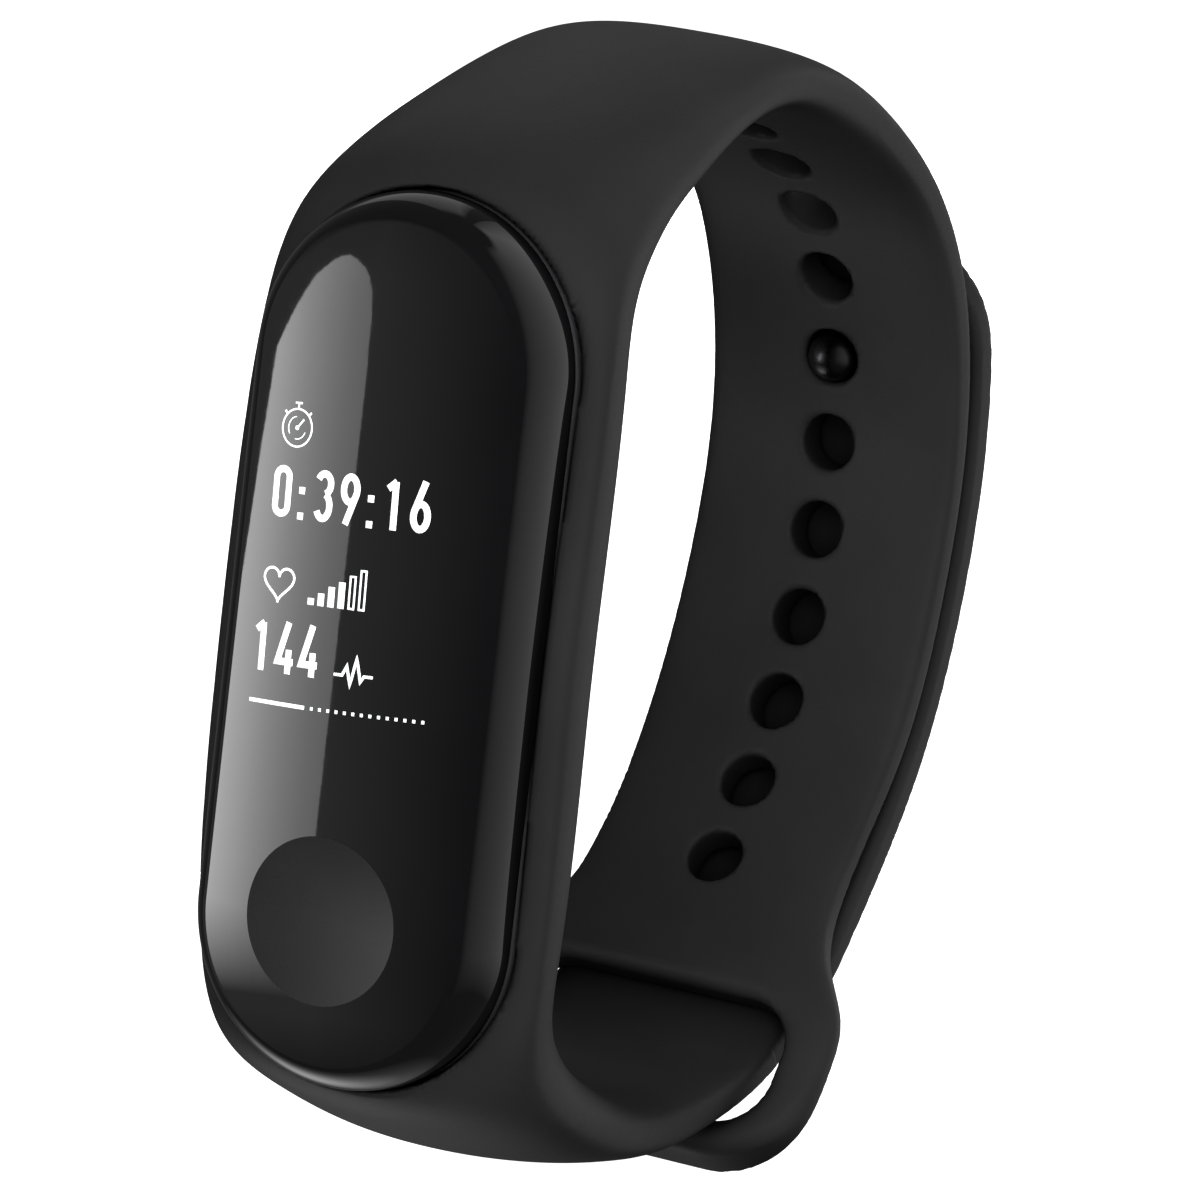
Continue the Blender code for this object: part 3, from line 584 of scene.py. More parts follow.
def arc_profile(centre_height, centre_radius, radius, start, end, steps=8):
    """Rows of a turned profile on a circle, from one angle to another in degrees."""
    rows = []
    for i in range(steps + 1):
        angle = math.radians(start + (end - start) * i / steps)
        rows.append((centre_height + radius * math.sin(angle), centre_radius + radius * math.cos(angle)))
    return rows


def clasp_pieces():
    outer, inner, outward, _ = hole_frame(STUD_HOLE)
    arm = float(np.linalg.norm(outer - inner))
    metal = stud_finish()
    dome = arc_profile(0.35, 0.0, STUD_HEAD, -90, 0, 16)
    neck = [(0.75, STUD_HEAD), (1.0, STUD_HEAD - 0.08), (1.15, STUD_SHANK)]
    shank_end = arm + TAIL_GAP + TAIL_THICKNESS + 0.2
    shank = [(shank_end - 0.05, STUD_SHANK), (shank_end, STUD_SHANK - 0.05), (shank_end, 0.0)]
    add_piece("clasp_stud_fine", turned(dome + neck + shank, inner, outward), metal,
              ["clasp_stud"], "tail")
    start = shank_end + 0.1
    rim = [(start, 0.0), (start, 2.5)] + arc_profile(start + 0.2, 2.5, 0.2, -90, 0, 4)
    top = arc_profile(start + 0.4, 2.3, 0.4, 0, 70, 6)
    top += [(start + 0.83, 1.6), (start + 0.86, 0.8), (start + 0.87, 0.0)]
    add_piece("clasp_cap_fine", turned(rim + top, inner, outward, 96), metal,
              ["clasp_cap"], "tail")


# ---------------------------------------------------------------- the tracker's outside

def capsule_outline(half_width, half_length, arc_steps, straight_steps):
    """Points round a flat capsule outline, each with the same number of points."""
    straight = half_length - half_width
    points = []
    for end, start in ((1, 0.0), (-1, math.pi)):
        for i in range(arc_steps):
            angle = start + math.pi * i / arc_steps
            points.append((half_width * math.cos(angle), end * straight + half_width * math.sin(angle)))
        for i in range(straight_steps):
            points.append((-end * half_width, end * straight * (1 - 2 * i / straight_steps)))
    return points


def capsule_loft(profile, half_width, half_length, arc_steps=60, straight_steps=60):
    """A body made of capsule rings; rows are y and the inset from the outline. The first and the
    last row close on the middle line."""
    bm = bmesh.new()
    rings = []
    for y, inset in profile:
        outline = capsule_outline(max(half_width - inset, 0.0), half_length - inset,
                                  arc_steps, straight_steps)
        rings.append([bm.verts.new((x, y, z)) for x, z in outline])
    join_rings(bm, rings)
    merge_points(bm)
    return bm


GLASS_FRONT = -2.0           # y that the curved edge alone would reach
GLASS_CROWN = 0.95           # how much further the front stands out in the middle
GLASS_EDGE = 0.8             # where the straight side of the glass starts to curve
GLASS_CURVE = 1.55           # how far in from the side the glass curves
GLASS_ROUNDNESS = 2.1
GLASS_BACK = 0.9
GLASS_WALL = 1.2
GLASS_HOLLOW = -1.0          # y of the hollow's front
SURFACE_MATCH = 0.002        # a point this near the front's formula lies on the front


def glass_height(inset):
    """y of the glass front at an inset from its outline."""
    share = max(0.0, 1 - inset / GLASS_CURVE)
    rise = (GLASS_EDGE - GLASS_FRONT) * (1 - share**GLASS_ROUNDNESS) ** (1 / GLASS_ROUNDNESS)
    crown = GLASS_CROWN * (1 - (1 - inset / CAPSULE_HALF_WIDTH)**2)
    return GLASS_EDGE - rise - crown


def glass_inset(x, z):
    straight = CAPSULE_HALF_LENGTH - CAPSULE_HALF_WIDTH
    return CAPSULE_HALF_WIDTH - math.hypot(x, z - max(-straight, min(straight, z)))


def glass_y(x, z):
    return glass_height(max(glass_inset(x, z), 0.0))


def glass_normal(x, z):
    """The direction out of the glass front at a point of its plane."""
    step = 0.01
    inset = glass_inset(x, z)
    out_x, out_z = inset - glass_inset(x + step, z), inset - glass_inset(x, z + step)
    slope = (glass_height(max(inset - step, 0.0)) - glass_height(inset + step)) / (2 * step)
    if inset < 2 * step:
        slope = 20.0
    size = max(math.hypot(out_x, out_z), 1e-9)
    return Vector((slope * out_x / size, -1.0, slope * out_z / size)).normalized()


def dish_share(x, z):
    return math.hypot(x - DIMPLE_CENTRE[0], z - DIMPLE_CENTRE[1]) / DIMPLE_RADIUS


def glass_piece():
    """The glass front. Its normals come from its formula, so that it mirrors cleanly, and it dips
    out of the way under the dish."""
    insets = [GLASS_CURVE * (1 - math.cos(math.pi / 2 * i / 20))**1.3 for i in range(21)]
    steps = 24
    flat = [GLASS_CURVE + (CAPSULE_HALF_WIDTH - GLASS_CURVE) * i / steps for i in range(1, steps + 1)]
    profile = [(GLASS_HOLLOW, CAPSULE_HALF_WIDTH), (GLASS_HOLLOW, GLASS_WALL + 0.05),
               (GLASS_HOLLOW + 0.05, GLASS_WALL), (GLASS_BACK - 0.05, GLASS_WALL),
               (GLASS_BACK, GLASS_WALL - 0.05), (GLASS_BACK, 0.03)]
    profile += [(glass_height(inset), inset) for inset in insets + flat]
    glass = capsule_loft(profile, CAPSULE_HALF_WIDTH, CAPSULE_HALF_LENGTH, 96, 110)
    piece = add_piece("front_glass", glass, glass_finish(), ["front_lens"], "tracker")
    sharpen(piece, 50)
    mesh = piece.data
    normals = [corner.vector.copy() for corner in mesh.corner_normals]
    for corner, loop in enumerate(mesh.loops):
        x, y, z = drawn_at(mesh.vertices[loop.vertex_index].co)
        if abs(y - glass_y(x, z)) < SURFACE_MATCH and y < GLASS_EDGE - 0.02:
            normals[corner] = glass_normal(x, z)
    for vertex in mesh.vertices:
        x, y, z = drawn_at(vertex.co)
        share = dish_share(x, z)
        if share < 0.99 and abs(y - glass_y(x, z)) < SURFACE_MATCH:
            vertex.co.y += (DIMPLE_DEPTH * (1 - share**2) + 0.1 * min(1.0, 8 * (0.99 - share))) * MM
    mesh.normals_split_custom_set(normals)


def drawn_at(co):
    """A point of a piece, back in the drawing frame."""
    return co.x / MM, co.y / MM + RIM_TO_ORIGIN, co.z / MM


def dish_piece():
    """The touch dish: a shallow satin bowl whose rim lies on the glass."""
    rings, sides = 24, 128
    bm = bmesh.new()
    skins = []
    for depth in (-0.012, 0.08):
        skin = []
        for i in range(rings + 1):
            share = (i / rings)**0.7
            ring = []
            for j in range(sides):
                angle = 2 * math.pi * j / sides
                x = DIMPLE_CENTRE[0] + DIMPLE_RADIUS * share * math.cos(angle)
                z = DIMPLE_CENTRE[1] + DIMPLE_RADIUS * share * math.sin(angle)
                ring.append(bm.verts.new((x, glass_y(x, z) + DIMPLE_DEPTH * (1 - share**2) + depth, z)))
            skin.append(ring)
        skins.append(skin)
    front, back = skins
    join_rings(bm, front + back[::-1])
    merge_points(bm)
    sharpen(add_piece("touch_dish", bm, dish_finish(), body="tracker"), 60)


def sharpen(piece, degrees):
    piece.data.set_sharp_from_angle(angle=math.radians(degrees))


CASE_FRONT, CASE_BACK = 1.15, 7.0
CASE_ROUND = 5.0             # radius between the case's side and its back
BUMP_HALF = (4.7, 8.6)       # half width and half length of the raised oval
BUMP_BACK = 9.0
BUMP_ROUND = 0.5
WINDOW_RADIUS = 3.5
WINDOW_BACK = 9.4
CONTACT_PLACE = (2.6, -16.4)
CONTACT_RADIUS = 0.95


def rounded_back(back, radius, end, steps, squeeze=1.0):
    """Rows that turn a loft's side over to its back, up to an angle in degrees."""
    angles = [math.radians(end * i / steps) for i in range(steps + 1)]
    return [(back - radius * (1 - math.sin(angle)), squeeze * radius * (1 - math.cos(angle)))
            for angle in angles]


def case_piece():
    """The rear shell: a rounded tub with the raised oval that carries the sensor window."""
    profile = [(CASE_FRONT, CAPSULE_HALF_WIDTH), (CASE_FRONT, 0.12), (CASE_FRONT + 0.1, 0.02),
               (CASE_FRONT + 0.2, 0.0)]
    profile += rounded_back(CASE_BACK, CASE_ROUND, 72, 14, 0.95)[1:]
    back, inset = profile[-1]
    profile += [(back + 0.25, inset + 0.9), (back + 0.3, CAPSULE_HALF_WIDTH)]
    tub = capsule_loft(profile, CAPSULE_HALF_WIDTH - 0.05, CAPSULE_HALF_LENGTH - 0.05)
    finish = case_finish()
    add_piece("case_shell", tub, finish, ["tracker_case"], "tracker")
    width, length = BUMP_HALF
    profile = [(6.6, width), (6.6, 0.0)] + rounded_back(BUMP_BACK, BUMP_ROUND, 90, 8)
    well = width - WINDOW_RADIUS
    profile += [(BUMP_BACK, well - 0.15), (BUMP_BACK - 0.3, well - 0.12), (BUMP_BACK - 0.3, width)]
    bump = capsule_loft(profile, width, length, 60, 30)
    sharpen(add_piece("sensor_bump", bump, finish, body="tracker"), 40)


def back_pieces():
    """The sensor window and the charging contacts."""
    facing = np.array([1.0, 0.0])
    edge = arc_profile(WINDOW_BACK - 0.35, WINDOW_RADIUS - 0.35, 0.35, 0, 90, 8)
    window = [(8.5, 0.0), (8.5, WINDOW_RADIUS)] + edge
    window += [(WINDOW_BACK + 0.02, WINDOW_RADIUS * 0.5), (WINDOW_BACK + 0.03, 0.0)]
    add_piece("sensor_window_fine", turned(window, np.array([0.0, 0.0]), facing, 96), window_finish(),
              ["sensor_window"], "tracker")
    gold = contact_finish()
    pin = [(6.3, 0.0), (6.3, CONTACT_RADIUS)] + arc_profile(6.95, CONTACT_RADIUS - 0.15, 0.15, 0, 90, 6)
    pin += [(7.12, CONTACT_RADIUS * 0.5), (7.13, 0.0)]
    for side, name in ((-1, "left"), (1, "right")):
        mesh = turned(pin, np.array([0.0, CONTACT_PLACE[1]]), facing, 48)
        bmesh.ops.translate(mesh, verts=mesh.verts, vec=(side * CONTACT_PLACE[0], 0, 0))
        add_piece(f"charge_contact_{name}_fine", mesh, gold,
                  [f"charge_contact_{name}"], "tracker")


# ---------------------------------------------------------------- the display

SCREEN_TILT = 4.5            # degrees that the lines of the display rise to the right
SCREEN_LEAN = 1.8            # degrees that its uprights lean to the left
INK_PROUD = 0.02
DIGIT_WIDTH = 1.2
DIGIT_HEIGHT = 2.7
DIGIT_STROKE = 0.36


def arc(x, y, radius_x, radius_y, start, end, steps=16):
    angles = np.radians(np.linspace(start, end, steps + 1))
    return [(x + radius_x * math.cos(a), y + radius_y * math.sin(a)) for a in angles]


def digit_strokes(digit):
    """The centre lines of a digit, each a list of points and whether it is closed."""
    middle = DIGIT_WIDTH / 2
    if digit == "0":
        return [(arc(middle, 2.1, 0.4, 0.4, 0, 180) + arc(middle, 0.6, 0.4, 0.4, 180, 360), True)]
    if digit == "1":
        return [([(0.62, 2.5), (0.62, 0.02)], False), ([(0.66, 2.5), (0.2, 2.12)], False)]
    if digit == "3":
        return [(arc(middle, 1.98, 0.4, 0.52, 155, -75), False),
                (arc(middle, 0.83, 0.4, 0.63, 75, -155), False)]
    if digit == "4":
        return [([(0.72, 2.66), (0.14, 0.62), (1.12, 0.62)], False), ([(0.82, 1.25), (0.82, 0.0)], False)]
    nine = [(arc(middle, 1.85, 0.4, 0.65, 0, 355, 24), True), ([(0.97, 1.62), (0.42, 0.04)], False)]
    if digit == "9":
        return nine
    return [([(DIGIT_WIDTH - x, DIGIT_HEIGHT - y) for x, y in line], closed) for line, closed in nine]


def add_line(bm, corner, points, width, closed=False):
    """A thin bar along a line of the display, drawn from a corner of the screen's plane."""
    corners = [np.array(point, float) for point in points]
    points = []
    for one, two in zip(corners, corners[1:] + corners[:1]):
        steps = math.ceil(np.linalg.norm(two - one) / 0.4)
        points += [one + (two - one) * i / steps for i in range(steps)]
        if not closed and two is corners[-1]:
            points.append(two)
            break
    count = len(points)
    tilt, lean = math.radians(SCREEN_TILT), math.radians(SCREEN_LEAN)
    rings = []
    for i, point in enumerate(points):
        before = points[(i - 1) % count] if closed or i else point
        after = points[(i + 1) % count] if closed or i < count - 1 else point
        into, away = point - before, after - point
        into = into / max(np.linalg.norm(into), 1e-9)
        away = away / max(np.linalg.norm(away), 1e-9)
        normal = np.array([-(into + away)[1], (into + away)[0]])
        normal /= max(np.linalg.norm(normal), 1e-9)
        flat = np.array([-away[1], away[0]]) if away.any() else np.array([-into[1], into[0]])
        normal *= width / 2 / max(abs(normal @ flat), 0.4)
        ring = []
        for side, lift in ((1, -1), (-1, -1), (-1, 1), (1, 1)):
            u, v = point + side * normal
            x = corner[0] + u * math.cos(tilt) - v * math.sin(lean)
            z = corner[1] + u * math.sin(tilt) + v * math.cos(lean)
            ring.append(bm.verts.new((x, glass_y(x, z) + lift * INK_PROUD, z)))
        rings.append(ring)
    join_rings(bm, rings + rings[:1] if closed else rings)
    if not closed:
        bm.faces.new(rings[0])
        bm.faces.new(rings[-1][::-1])


def add_digits(bm, corner, digits, pitches):
    """A row of digits with the pitch before each one."""
    across = 0.0
    for digit, pitch in zip(digits, pitches):
        across += pitch
        for line, closed in digit_strokes(digit):
            add_line(bm, corner, [(x + across, y) for x, y in line], DIGIT_STROKE, closed)


def add_stopwatch(bm, centre):
    add_line(bm, centre, arc(0, 0, 0.93, 0.97, 0, 352, 44), 0.09, True)
    add_line(bm, centre, arc(0, 0, 0.55, 0.58, 100, 215, 14), 0.05)
    add_line(bm, centre, arc(0, 0, 0.55, 0.58, 260, 340, 10), 0.05)
    add_line(bm, centre, [(-0.22, 1.28), (0.22, 1.28)], 0.1)
    add_line(bm, centre, [(0.0, 1.22), (0.0, 1.0)], 0.09)
    for angle in (45, 135):
        a = math.radians(angle)
        add_line(bm, centre, [(math.cos(a) * r, math.sin(a) * r) for r in (1.0, 1.18)], 0.11)
    add_line(bm, centre, [(-0.06, -0.08), (0.40, 0.46)], 0.09)
    add_line(bm, centre, arc(0, 0, 0.06, 0.06, 0, 330, 11), 0.11, True)


def add_heart(bm, centre, width):
    scale = width / 32
    line = []
    for i in range(48):
        t = 2 * math.pi * (i + 0.5) / 48
        height = 13 * math.cos(t) - 5 * math.cos(2 * t) - 2 * math.cos(3 * t) - math.cos(4 * t)
        line.append((16 * math.sin(t)**3 * scale, (height + 2.5) * scale))
    add_line(bm, centre, line, 0.13, True)


def add_bars(bm, corner):
    pitch, width = 0.61, 0.38
    for i, height in enumerate((0.35, 0.65, 1.05, 1.35)):
        middle = i * pitch + width / 2
        add_line(bm, corner, [(middle, 0.0), (middle, height)], width)
    for i, height in ((4, 1.7), (5, 2.05)):
        left = i * pitch + 0.05
        box = [(left, 0.05), (left + 0.3, 0.05), (left + 0.3, height), (left, height)]
        add_line(bm, corner, box, 0.1, True)


def display_piece():
    """What the screen shows, as thin bars on the glass: a time, a pulse count and a progress line."""
    bm = bmesh.new()
    add_stopwatch(bm, (-4.85, 10.62))
    time_corner = (-5.92, 5.86)
    add_digits(bm, time_corner, "03916", (0.0, 2.62, 1.6, 2.62, 1.53))
    for across in (1.86, 6.07):
        for height in (0.18, 1.5):
            dot = [(across, height - DIGIT_STROKE / 2), (across, height + DIGIT_STROKE / 2)]
            add_line(bm, time_corner, dot, DIGIT_STROKE)
    add_heart(bm, (-4.93, 2.46), 1.9)
    add_bars(bm, (-3.02, 1.8))
    add_digits(bm, (-6.13, -2.17), "144", (0.0, 1.5, 1.5))
    beat = [(0.0, 0.35), (0.5, 0.35), (0.75, 0.85), (1.0, -0.15), (1.3, 1.3), (1.6, 0.1),
            (1.8, 0.4), (2.3, 0.4)]
    add_line(bm, (-0.96, -1.78), beat, 0.15)
    line_corner = (-6.02, -3.72)
    add_line(bm, line_corner, [(0.0, 0.0), (3.5, -0.05)], 0.2)
    for i in range(14):
        across = 3.95 + 0.5 * i
        add_line(bm, line_corner, [(across - 0.08, -0.05), (across + 0.08, -0.05)], 0.17)
    add_piece("display_graphics", bm, display_finish(), body="tracker")


# ---------------------------------------------------------------- finishes

def new_finish(name):
    made = bpy.data.materials.new(name)
    made.use_nodes = True
    return made, made.node_tree, made.node_tree.nodes["Principled BSDF"]


def add_noise(tree, scale, roughness=0.5):
    coordinates = tree.nodes.new("ShaderNodeTexCoord")
    noise = tree.nodes.new("ShaderNodeTexNoise")
    noise.inputs["Scale"].default_value = scale
    noise.inputs["Detail"].default_value = 4.0
    noise.inputs["Roughness"].default_value = roughness
    tree.links.new(coordinates.outputs["Object"], noise.inputs["Vector"])
    return noise.outputs["Fac"]


def remap(tree, value, low, high):
    """Stretches a noise, which mostly lies between 0.3 and 0.7, to a range."""
    node = tree.nodes.new("ShaderNodeMapRange")
    for socket, number in (("From Min", 0.3), ("From Max", 0.7), ("To Min", low), ("To Max", high)):
        node.inputs[socket].default_value = number
    tree.links.new(value, node.inputs["Value"])
    return node.outputs["Result"]


def tint(tree, value, low, high):
    node = tree.nodes.new("ShaderNodeMix")
    node.data_type = 'RGBA'
    node.inputs["A"].default_value = (*low, 1.0)
    node.inputs["B"].default_value = (*high, 1.0)
    tree.links.new(value, node.inputs["Factor"])
    return node.outputs["Result"]


def add_bump(tree, height, strength, distance):
    node = tree.nodes.new("ShaderNodeBump")
    node.inputs["Strength"].default_value = strength
    node.inputs["Distance"].default_value = distance
    tree.links.new(height, node.inputs["Height"])
    return node.outputs["Normal"]


def surface_finish(name, dark, light, rough, grain, bump, metallic=0.0, patch=120.0):
    """A Principled finish whose colour drifts over patches, with a fine grain in its roughness and
    bump. rough is a pair, and grain is the noise scale per metre."""
    made, tree, shader = new_finish(name)
    patches = remap(tree, add_noise(tree, patch), 0.0, 1.0)
    fine = add_noise(tree, grain, 0.6)
    tree.links.new(tint(tree, patches, dark, light), shader.inputs["Base Color"])
    tree.links.new(remap(tree, fine, *rough), shader.inputs["Roughness"])
    tree.links.new(add_bump(tree, fine, bump, 0.00005), shader.inputs["Normal"])
    shader.inputs["Metallic"].default_value = metallic
    return made, tree, shader


def paint_crevice_shade(tree, shader, distance):
    """Paints shade into the colour where the surface is closed in by other surfaces nearby, as in a hole:
    the ambient occlusion darkens the colour there.
    """
    base = shader.inputs["Base Color"]
    shade = tree.nodes.new("ShaderNodeAmbientOcclusion")
    shade.inputs["Distance"].default_value = distance
    tree.links.new(base.links[0].from_socket, shade.inputs["Color"])
    tree.links.new(shade.outputs["Color"], base)


def elastomer_finish():
    made, tree, shader = surface_finish("elastomer", (0.0165, 0.0165, 0.0172), (0.0205, 0.0205, 0.0213),
                                        (0.44, 0.52), 9000.0, 0.25)
    shader.inputs["Specular IOR Level"].default_value = 0.1
    # painted shade: the rubber's colour is darkened in its holes, slot and gaps
    paint_crevice_shade(tree, shader, 4.0 * MM)
    return made


def glass_finish():
    return surface_finish("glass_front", (0.0022, 0.0022, 0.0026), (0.0032, 0.0032, 0.0037),
                          (0.02, 0.04), 900.0, 0.01)[0]


def dish_finish():
    made, _, shader = surface_finish("touch_dish", (0.010, 0.010, 0.0105), (0.014, 0.014, 0.0148),
                                        (0.26, 0.32), 9000.0, 0.05)
    shader.inputs["Specular IOR Level"].default_value = 0.2
    return made


def case_finish():
    return surface_finish("case_moulding", (0.016, 0.016, 0.017), (0.024, 0.024, 0.026),
                          (0.34, 0.46), 14000.0, 0.3)[0]


def stud_finish():
    return surface_finish("stud_plating", (0.030, 0.030, 0.032), (0.045, 0.045, 0.048),
                          (0.26, 0.34), 6000.0, 0.05, metallic=1.0)[0]


def window_finish():
    return surface_finish("sensor_glass", (0.006, 0.005, 0.006), (0.010, 0.008, 0.010),
                          (0.05, 0.09), 1200.0, 0.02)[0]


def contact_finish():
    return surface_finish("contact_gold", (0.72, 0.48, 0.17), (0.84, 0.60, 0.26),
                          (0.18, 0.30), 9000.0, 0.08, metallic=1.0, patch=900.0)[0]


def display_finish():
    made, _, shader = surface_finish("display_light", (0.80, 0.82, 0.84), (0.86, 0.87, 0.88),
                                        (0.3, 0.4), 5000.0, 0.02)
    shader.inputs["Emission Color"].default_value = (0.97, 0.99, 1.0, 1.0)
    shader.inputs["Emission Strength"].default_value = 1.0
    return made


# Finishes of the CAD nodes that are shown as they are: two colours, roughness, grain, bump, metal.
INSIDE_FINISHES = {
    "front_gloss": ((0.004, 0.004, 0.005), (0.007, 0.007, 0.008), (0.08, 0.14), 2000.0, 0.02, 0.0),
    "case_plastic": ((0.016, 0.016, 0.017), (0.024, 0.024, 0.026), (0.4, 0.5), 14000.0, 0.3, 0.0),
    "inner_metal": ((0.52, 0.53, 0.54), (0.62, 0.63, 0.64), (0.26, 0.38), 9000.0, 0.1, 1.0),
    "contact_metal": ((0.72, 0.48, 0.17), (0.84, 0.60, 0.26), (0.2, 0.32), 9000.0, 0.08, 1.0),
    "board": ((0.010, 0.055, 0.028), (0.018, 0.085, 0.042), (0.35, 0.5), 8000.0, 0.15, 0.0),
    "chip": ((0.012, 0.012, 0.013), (0.022, 0.022, 0.023), (0.35, 0.5), 12000.0, 0.2, 0.0),
    "tape": ((0.05, 0.048, 0.045), (0.08, 0.077, 0.072), (0.55, 0.7), 7000.0, 0.2, 0.0),
    "battery_foil": ((0.45, 0.46, 0.47), (0.58, 0.59, 0.60), (0.3, 0.42), 3000.0, 0.3, 0.9),
    "flex_film": ((0.24, 0.11, 0.025), (0.34, 0.17, 0.045), (0.3, 0.42), 5000.0, 0.1, 0.0),
}


def finish_inside():
    """Gives every CAD node that is still shown the finish of its slot."""
    made = {}
    for part in frame["record"]["subparts"]:
        node = frame["nodes"][part["node"]]
        slot = part["material_slot"]
        if node.hide_render:
            continue
        if slot not in made:
            *look, metal = INSIDE_FINISHES[slot]
            made[slot] = surface_finish(f"inside_{slot}", *look, metallic=metal, patch=400.0)[0]
        for place in node.material_slots:
            place.material = made[slot]


# ---------------------------------------------------------------- stage

CAMERA_LENS = 240.0
CAMERA_PLACE = (0.20065, -0.35828, 0.07190)
CAMERA_FORWARD = (-0.4685, 0.8675, -0.1674)
CAMERA_UP = (-0.1807, 0.0914, 0.9793)


def camera():
    data = bpy.data.cameras.new("camera")
    data.lens = CAMERA_LENS
    data.sensor_width = 36.0
    data.clip_start = 0.01
    data.clip_end = 20.0
    made = bpy.data.objects.new("camera", data)
    forward = Vector(CAMERA_FORWARD).normalized()
    right = forward.cross(Vector(CAMERA_UP)).normalized()
    up = right.cross(forward)
    turn = Matrix((right, up, -forward)).transposed()
    made.matrix_world = Matrix.Translation(CAMERA_PLACE) @ turn.to_4x4()
    bpy.context.collection.objects.link(made)
    bpy.context.scene.camera = made


def floor():
    bm = bmesh.new()
    bmesh.ops.create_grid(bm, x_segments=2, y_segments=2, size=4.0)
    mesh = bpy.data.meshes.new("floor")
    bm.to_mesh(mesh)
    bm.free()
    made, _, shader = surface_finish("floor_paper", (0.86, 0.86, 0.86), (0.88, 0.88, 0.88),
                                        (0.7, 0.8), 400.0, 0.02)
    shader.inputs["Emission Color"].default_value = (1.0, 1.0, 1.0, 1.0)
    shader.inputs["Emission Strength"].default_value = 1.1
    mesh.materials.append(made)
    sheet = bpy.data.objects.new("floor", mesh)
    sheet.location = (0.0, 0.0, cad_box[0].z)
    bpy.context.collection.objects.link(sheet)
    sheet.visible_glossy = False
    sheet.visible_diffuse = False


def softbox(name, place, size, power):
    """A square lamp that looks at the object and isn't mirrored in it."""
    data = bpy.data.lights.new(name, 'AREA')
    data.shape = 'SQUARE'
    data.size = size
    data.energy = power
    made = bpy.data.objects.new(name, data)
    made.location = place
    made.rotation_euler = (-Vector(place)).to_track_quat('-Z', 'Y').to_euler()
    made.visible_camera = False
    made.visible_glossy = False
    bpy.context.collection.objects.link(made)


# The lights on a curtain round the object, which the glass mirrors. Each light is a row of columns:
# azimuth in degrees from the front towards +X, radiance, and the heights of its lower and its upper
# edge in metres. It fades below its lower edge, and some fade above their upper edge too.
ROOM_GLOW = 0.09             # radiance of the plain room beyond the curtain
WINDOW_LIGHT = (
    (-53.0, 9.0, -0.072, -0.0710), (-49.9, 8.2, -0.072, -0.0440), (-48.0, 7.4, -0.072, -0.0250),
    (-45.8, 6.5, -0.072, -0.0040), (-44.2, 5.8, -0.072, 0.0110), (-42.5, 5.1, -0.072, 0.0245),
    (-40.0, 4.3, -0.072, 0.0365), (-38.7, 3.9, -0.072, 0.0410), (-37.4, 3.6, -0.072, 0.0432),
    (-35.8, 3.2, -0.072, 0.0418), (-34.3, 2.9, -0.072, 0.0381), (-33.2, 2.75, -0.072, 0.0325),
    (-32.4, 2.65, -0.072, 0.0240), (-31.8, 2.6, -0.072, 0.0050),
)
ROOM_LIGHT = ((-75.0, 0.30, -0.15, 0.03), (-32.0, 0.42, -0.15, 0.03), (-20.0, 0.24, -0.15, 0.03),
              (-8.0, 0.08, -0.15, 0.03), (50.0, 0.06, -0.15, 0.03))
RIGHT_LIGHT = ((34.0, ROOM_GLOW, -0.04, 0.5), (55.0, 0.4, -0.04, 0.8), (80.0, 0.6, -0.04, 0.9),
               (130.0, 0.95, -0.04, 0.9), (165.0, 1.05, -0.04, 0.9), (188.0, 0.3, -0.04, 0.9))
BACK_LIGHT = ((-160.0, 0.15, 0.16, 0.6), (-154.0, 0.5, 0.16, 0.6), (-125.0, 0.4, 0.16, 0.6))
# Each light with its radius in metres, how far it fades below and above, and the radiance that the
# lower fade ends at.
CURTAIN_LIGHTS = ((WINDOW_LIGHT, 0.30, 0.065, 0.0, 0.35), (ROOM_LIGHT, 0.31, 0.06, 0.14, ROOM_GLOW),
                  (RIGHT_LIGHT, 0.30, 0.16, 0.4, ROOM_GLOW), (BACK_LIGHT, 0.32, 0.05, 0.3, ROOM_GLOW))
CURTAIN_STEP = 2.0           # degrees


def curtain():
    """Glowing sheets round the object, seen only in reflections."""
    bm = bmesh.new()
    glow = []
    for columns, radius, fade_low, fade_top, faded in CURTAIN_LIGHTS:
        columns = np.array(columns)
        between = np.arange(columns[0, 0], columns[-1, 0], CURTAIN_STEP)
        edges = []
        for azimuth in np.unique(np.concatenate([columns[:, 0], between])):
            level, low, top = (np.interp(azimuth, columns[:, 0], column) for column in columns.T[1:])
            angle = math.radians(azimuth)
            x, y = radius * math.sin(angle), -radius * math.cos(angle)
            edges.append([bm.verts.new((x, y, height)) for height in (low - fade_low, low, top)])
            glow += [faded, level, level]
            if fade_top:
                edges[-1].append(bm.verts.new((x, y, top + fade_top)))
                glow.append(ROOM_GLOW)
        for one, two in zip(edges, edges[1:]):
            for i in range(len(one) - 1):
                bm.faces.new((one[i], two[i], two[i + 1], one[i + 1]))
    add_glow("curtain", bm, glow)


CARD_RINGS = ((0.0, 2.4), (0.025, 2.0), (0.05, 1.1), (0.08, 0.4), (0.12, ROOM_GLOW))
CARD_CENTRE = (-0.075, 0.02, -0.14)


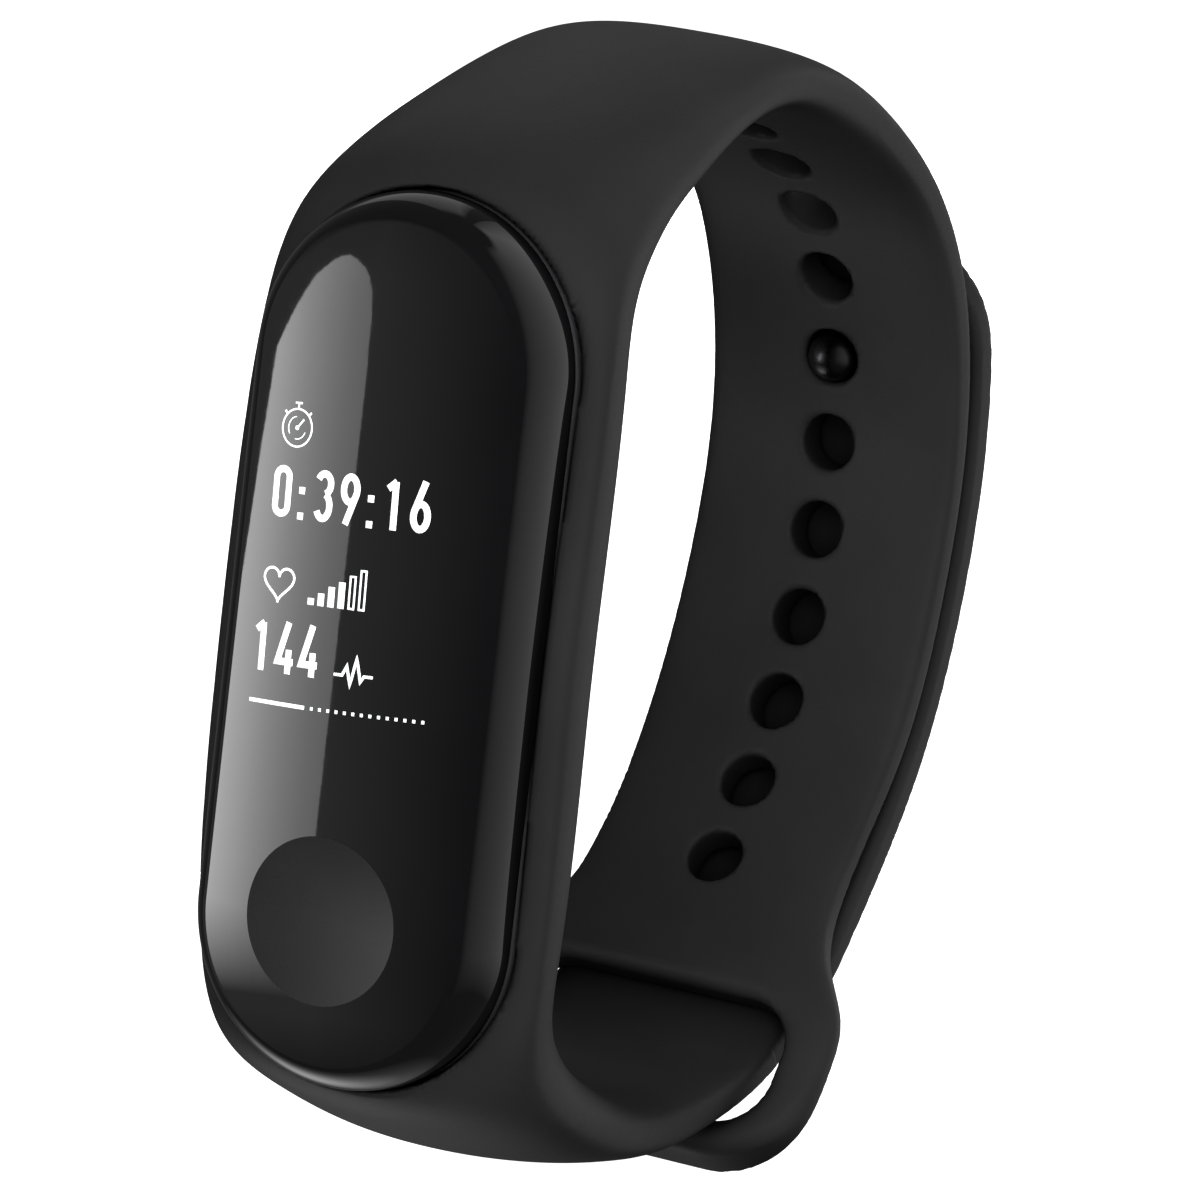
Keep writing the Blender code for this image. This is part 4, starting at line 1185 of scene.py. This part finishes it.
def bottom_card():
    """A round glowing card below, brightest in its middle, which the lower edge of the glass mirrors."""
    bm = bmesh.new()
    glow = []
    rings = []
    sides = 48
    x, y, z = CARD_CENTRE
    for radius, level in CARD_RINGS:
        around = arc(x, y, radius, radius, 0, 360 - 360 / sides, sides - 1)
        rings.append([bm.verts.new((*point, z)) for point in around])
        glow += [level] * sides
    join_rings(bm, rings)
    add_glow("bottom_card", bm, glow)


def add_glow(name, bm, glow):
    """A stage sheet with a radiance at each point, which only reflections see."""
    mesh = bpy.data.meshes.new(name)
    bm.to_mesh(mesh)
    bm.free()
    values = mesh.attributes.new("glow", 'FLOAT', 'POINT')
    values.data.foreach_set("value", glow)
    made = bpy.data.materials.new(name)
    made.use_nodes = True
    tree = made.node_tree
    tree.nodes.clear()
    output = tree.nodes.new("ShaderNodeOutputMaterial")
    light = tree.nodes.new("ShaderNodeEmission")
    attribute = tree.nodes.new("ShaderNodeAttribute")
    attribute.attribute_name = "glow"
    tree.links.new(attribute.outputs["Fac"], light.inputs["Strength"])
    tree.links.new(light.outputs["Emission"], output.inputs["Surface"])
    mesh.materials.append(made)
    sheet = bpy.data.objects.new(name, mesh)
    bpy.context.collection.objects.link(sheet)
    sheet.visible_camera = False
    sheet.visible_diffuse = False
    sheet.visible_shadow = False
    sheet.visible_transmission = False


def studio():
    world = bpy.data.worlds.new("studio")
    world.use_nodes = True
    world.node_tree.nodes["Background"].inputs["Color"].default_value = (1.0, 1.0, 1.0, 1.0)
    world.node_tree.nodes["Background"].inputs["Strength"].default_value = ROOM_GLOW
    bpy.context.scene.world = world
    softbox("front_lamp", (0.21, -0.40, 0.12), 0.35, 3.9)
    softbox("back_lamp", (-0.15, 0.45, 0.20), 0.4, 2.0)
    curtain()
    bottom_card()
    scene = bpy.context.scene
    scene.view_settings.view_transform = 'Standard'
    scene.view_settings.look = 'None'


# ---------------------------------------------------------------- build

camera()
floor()
studio()
strap_pieces()
clasp_pieces()
glass_piece()
dish_piece()
case_piece()
back_pieces()
display_piece()
finish_inside()
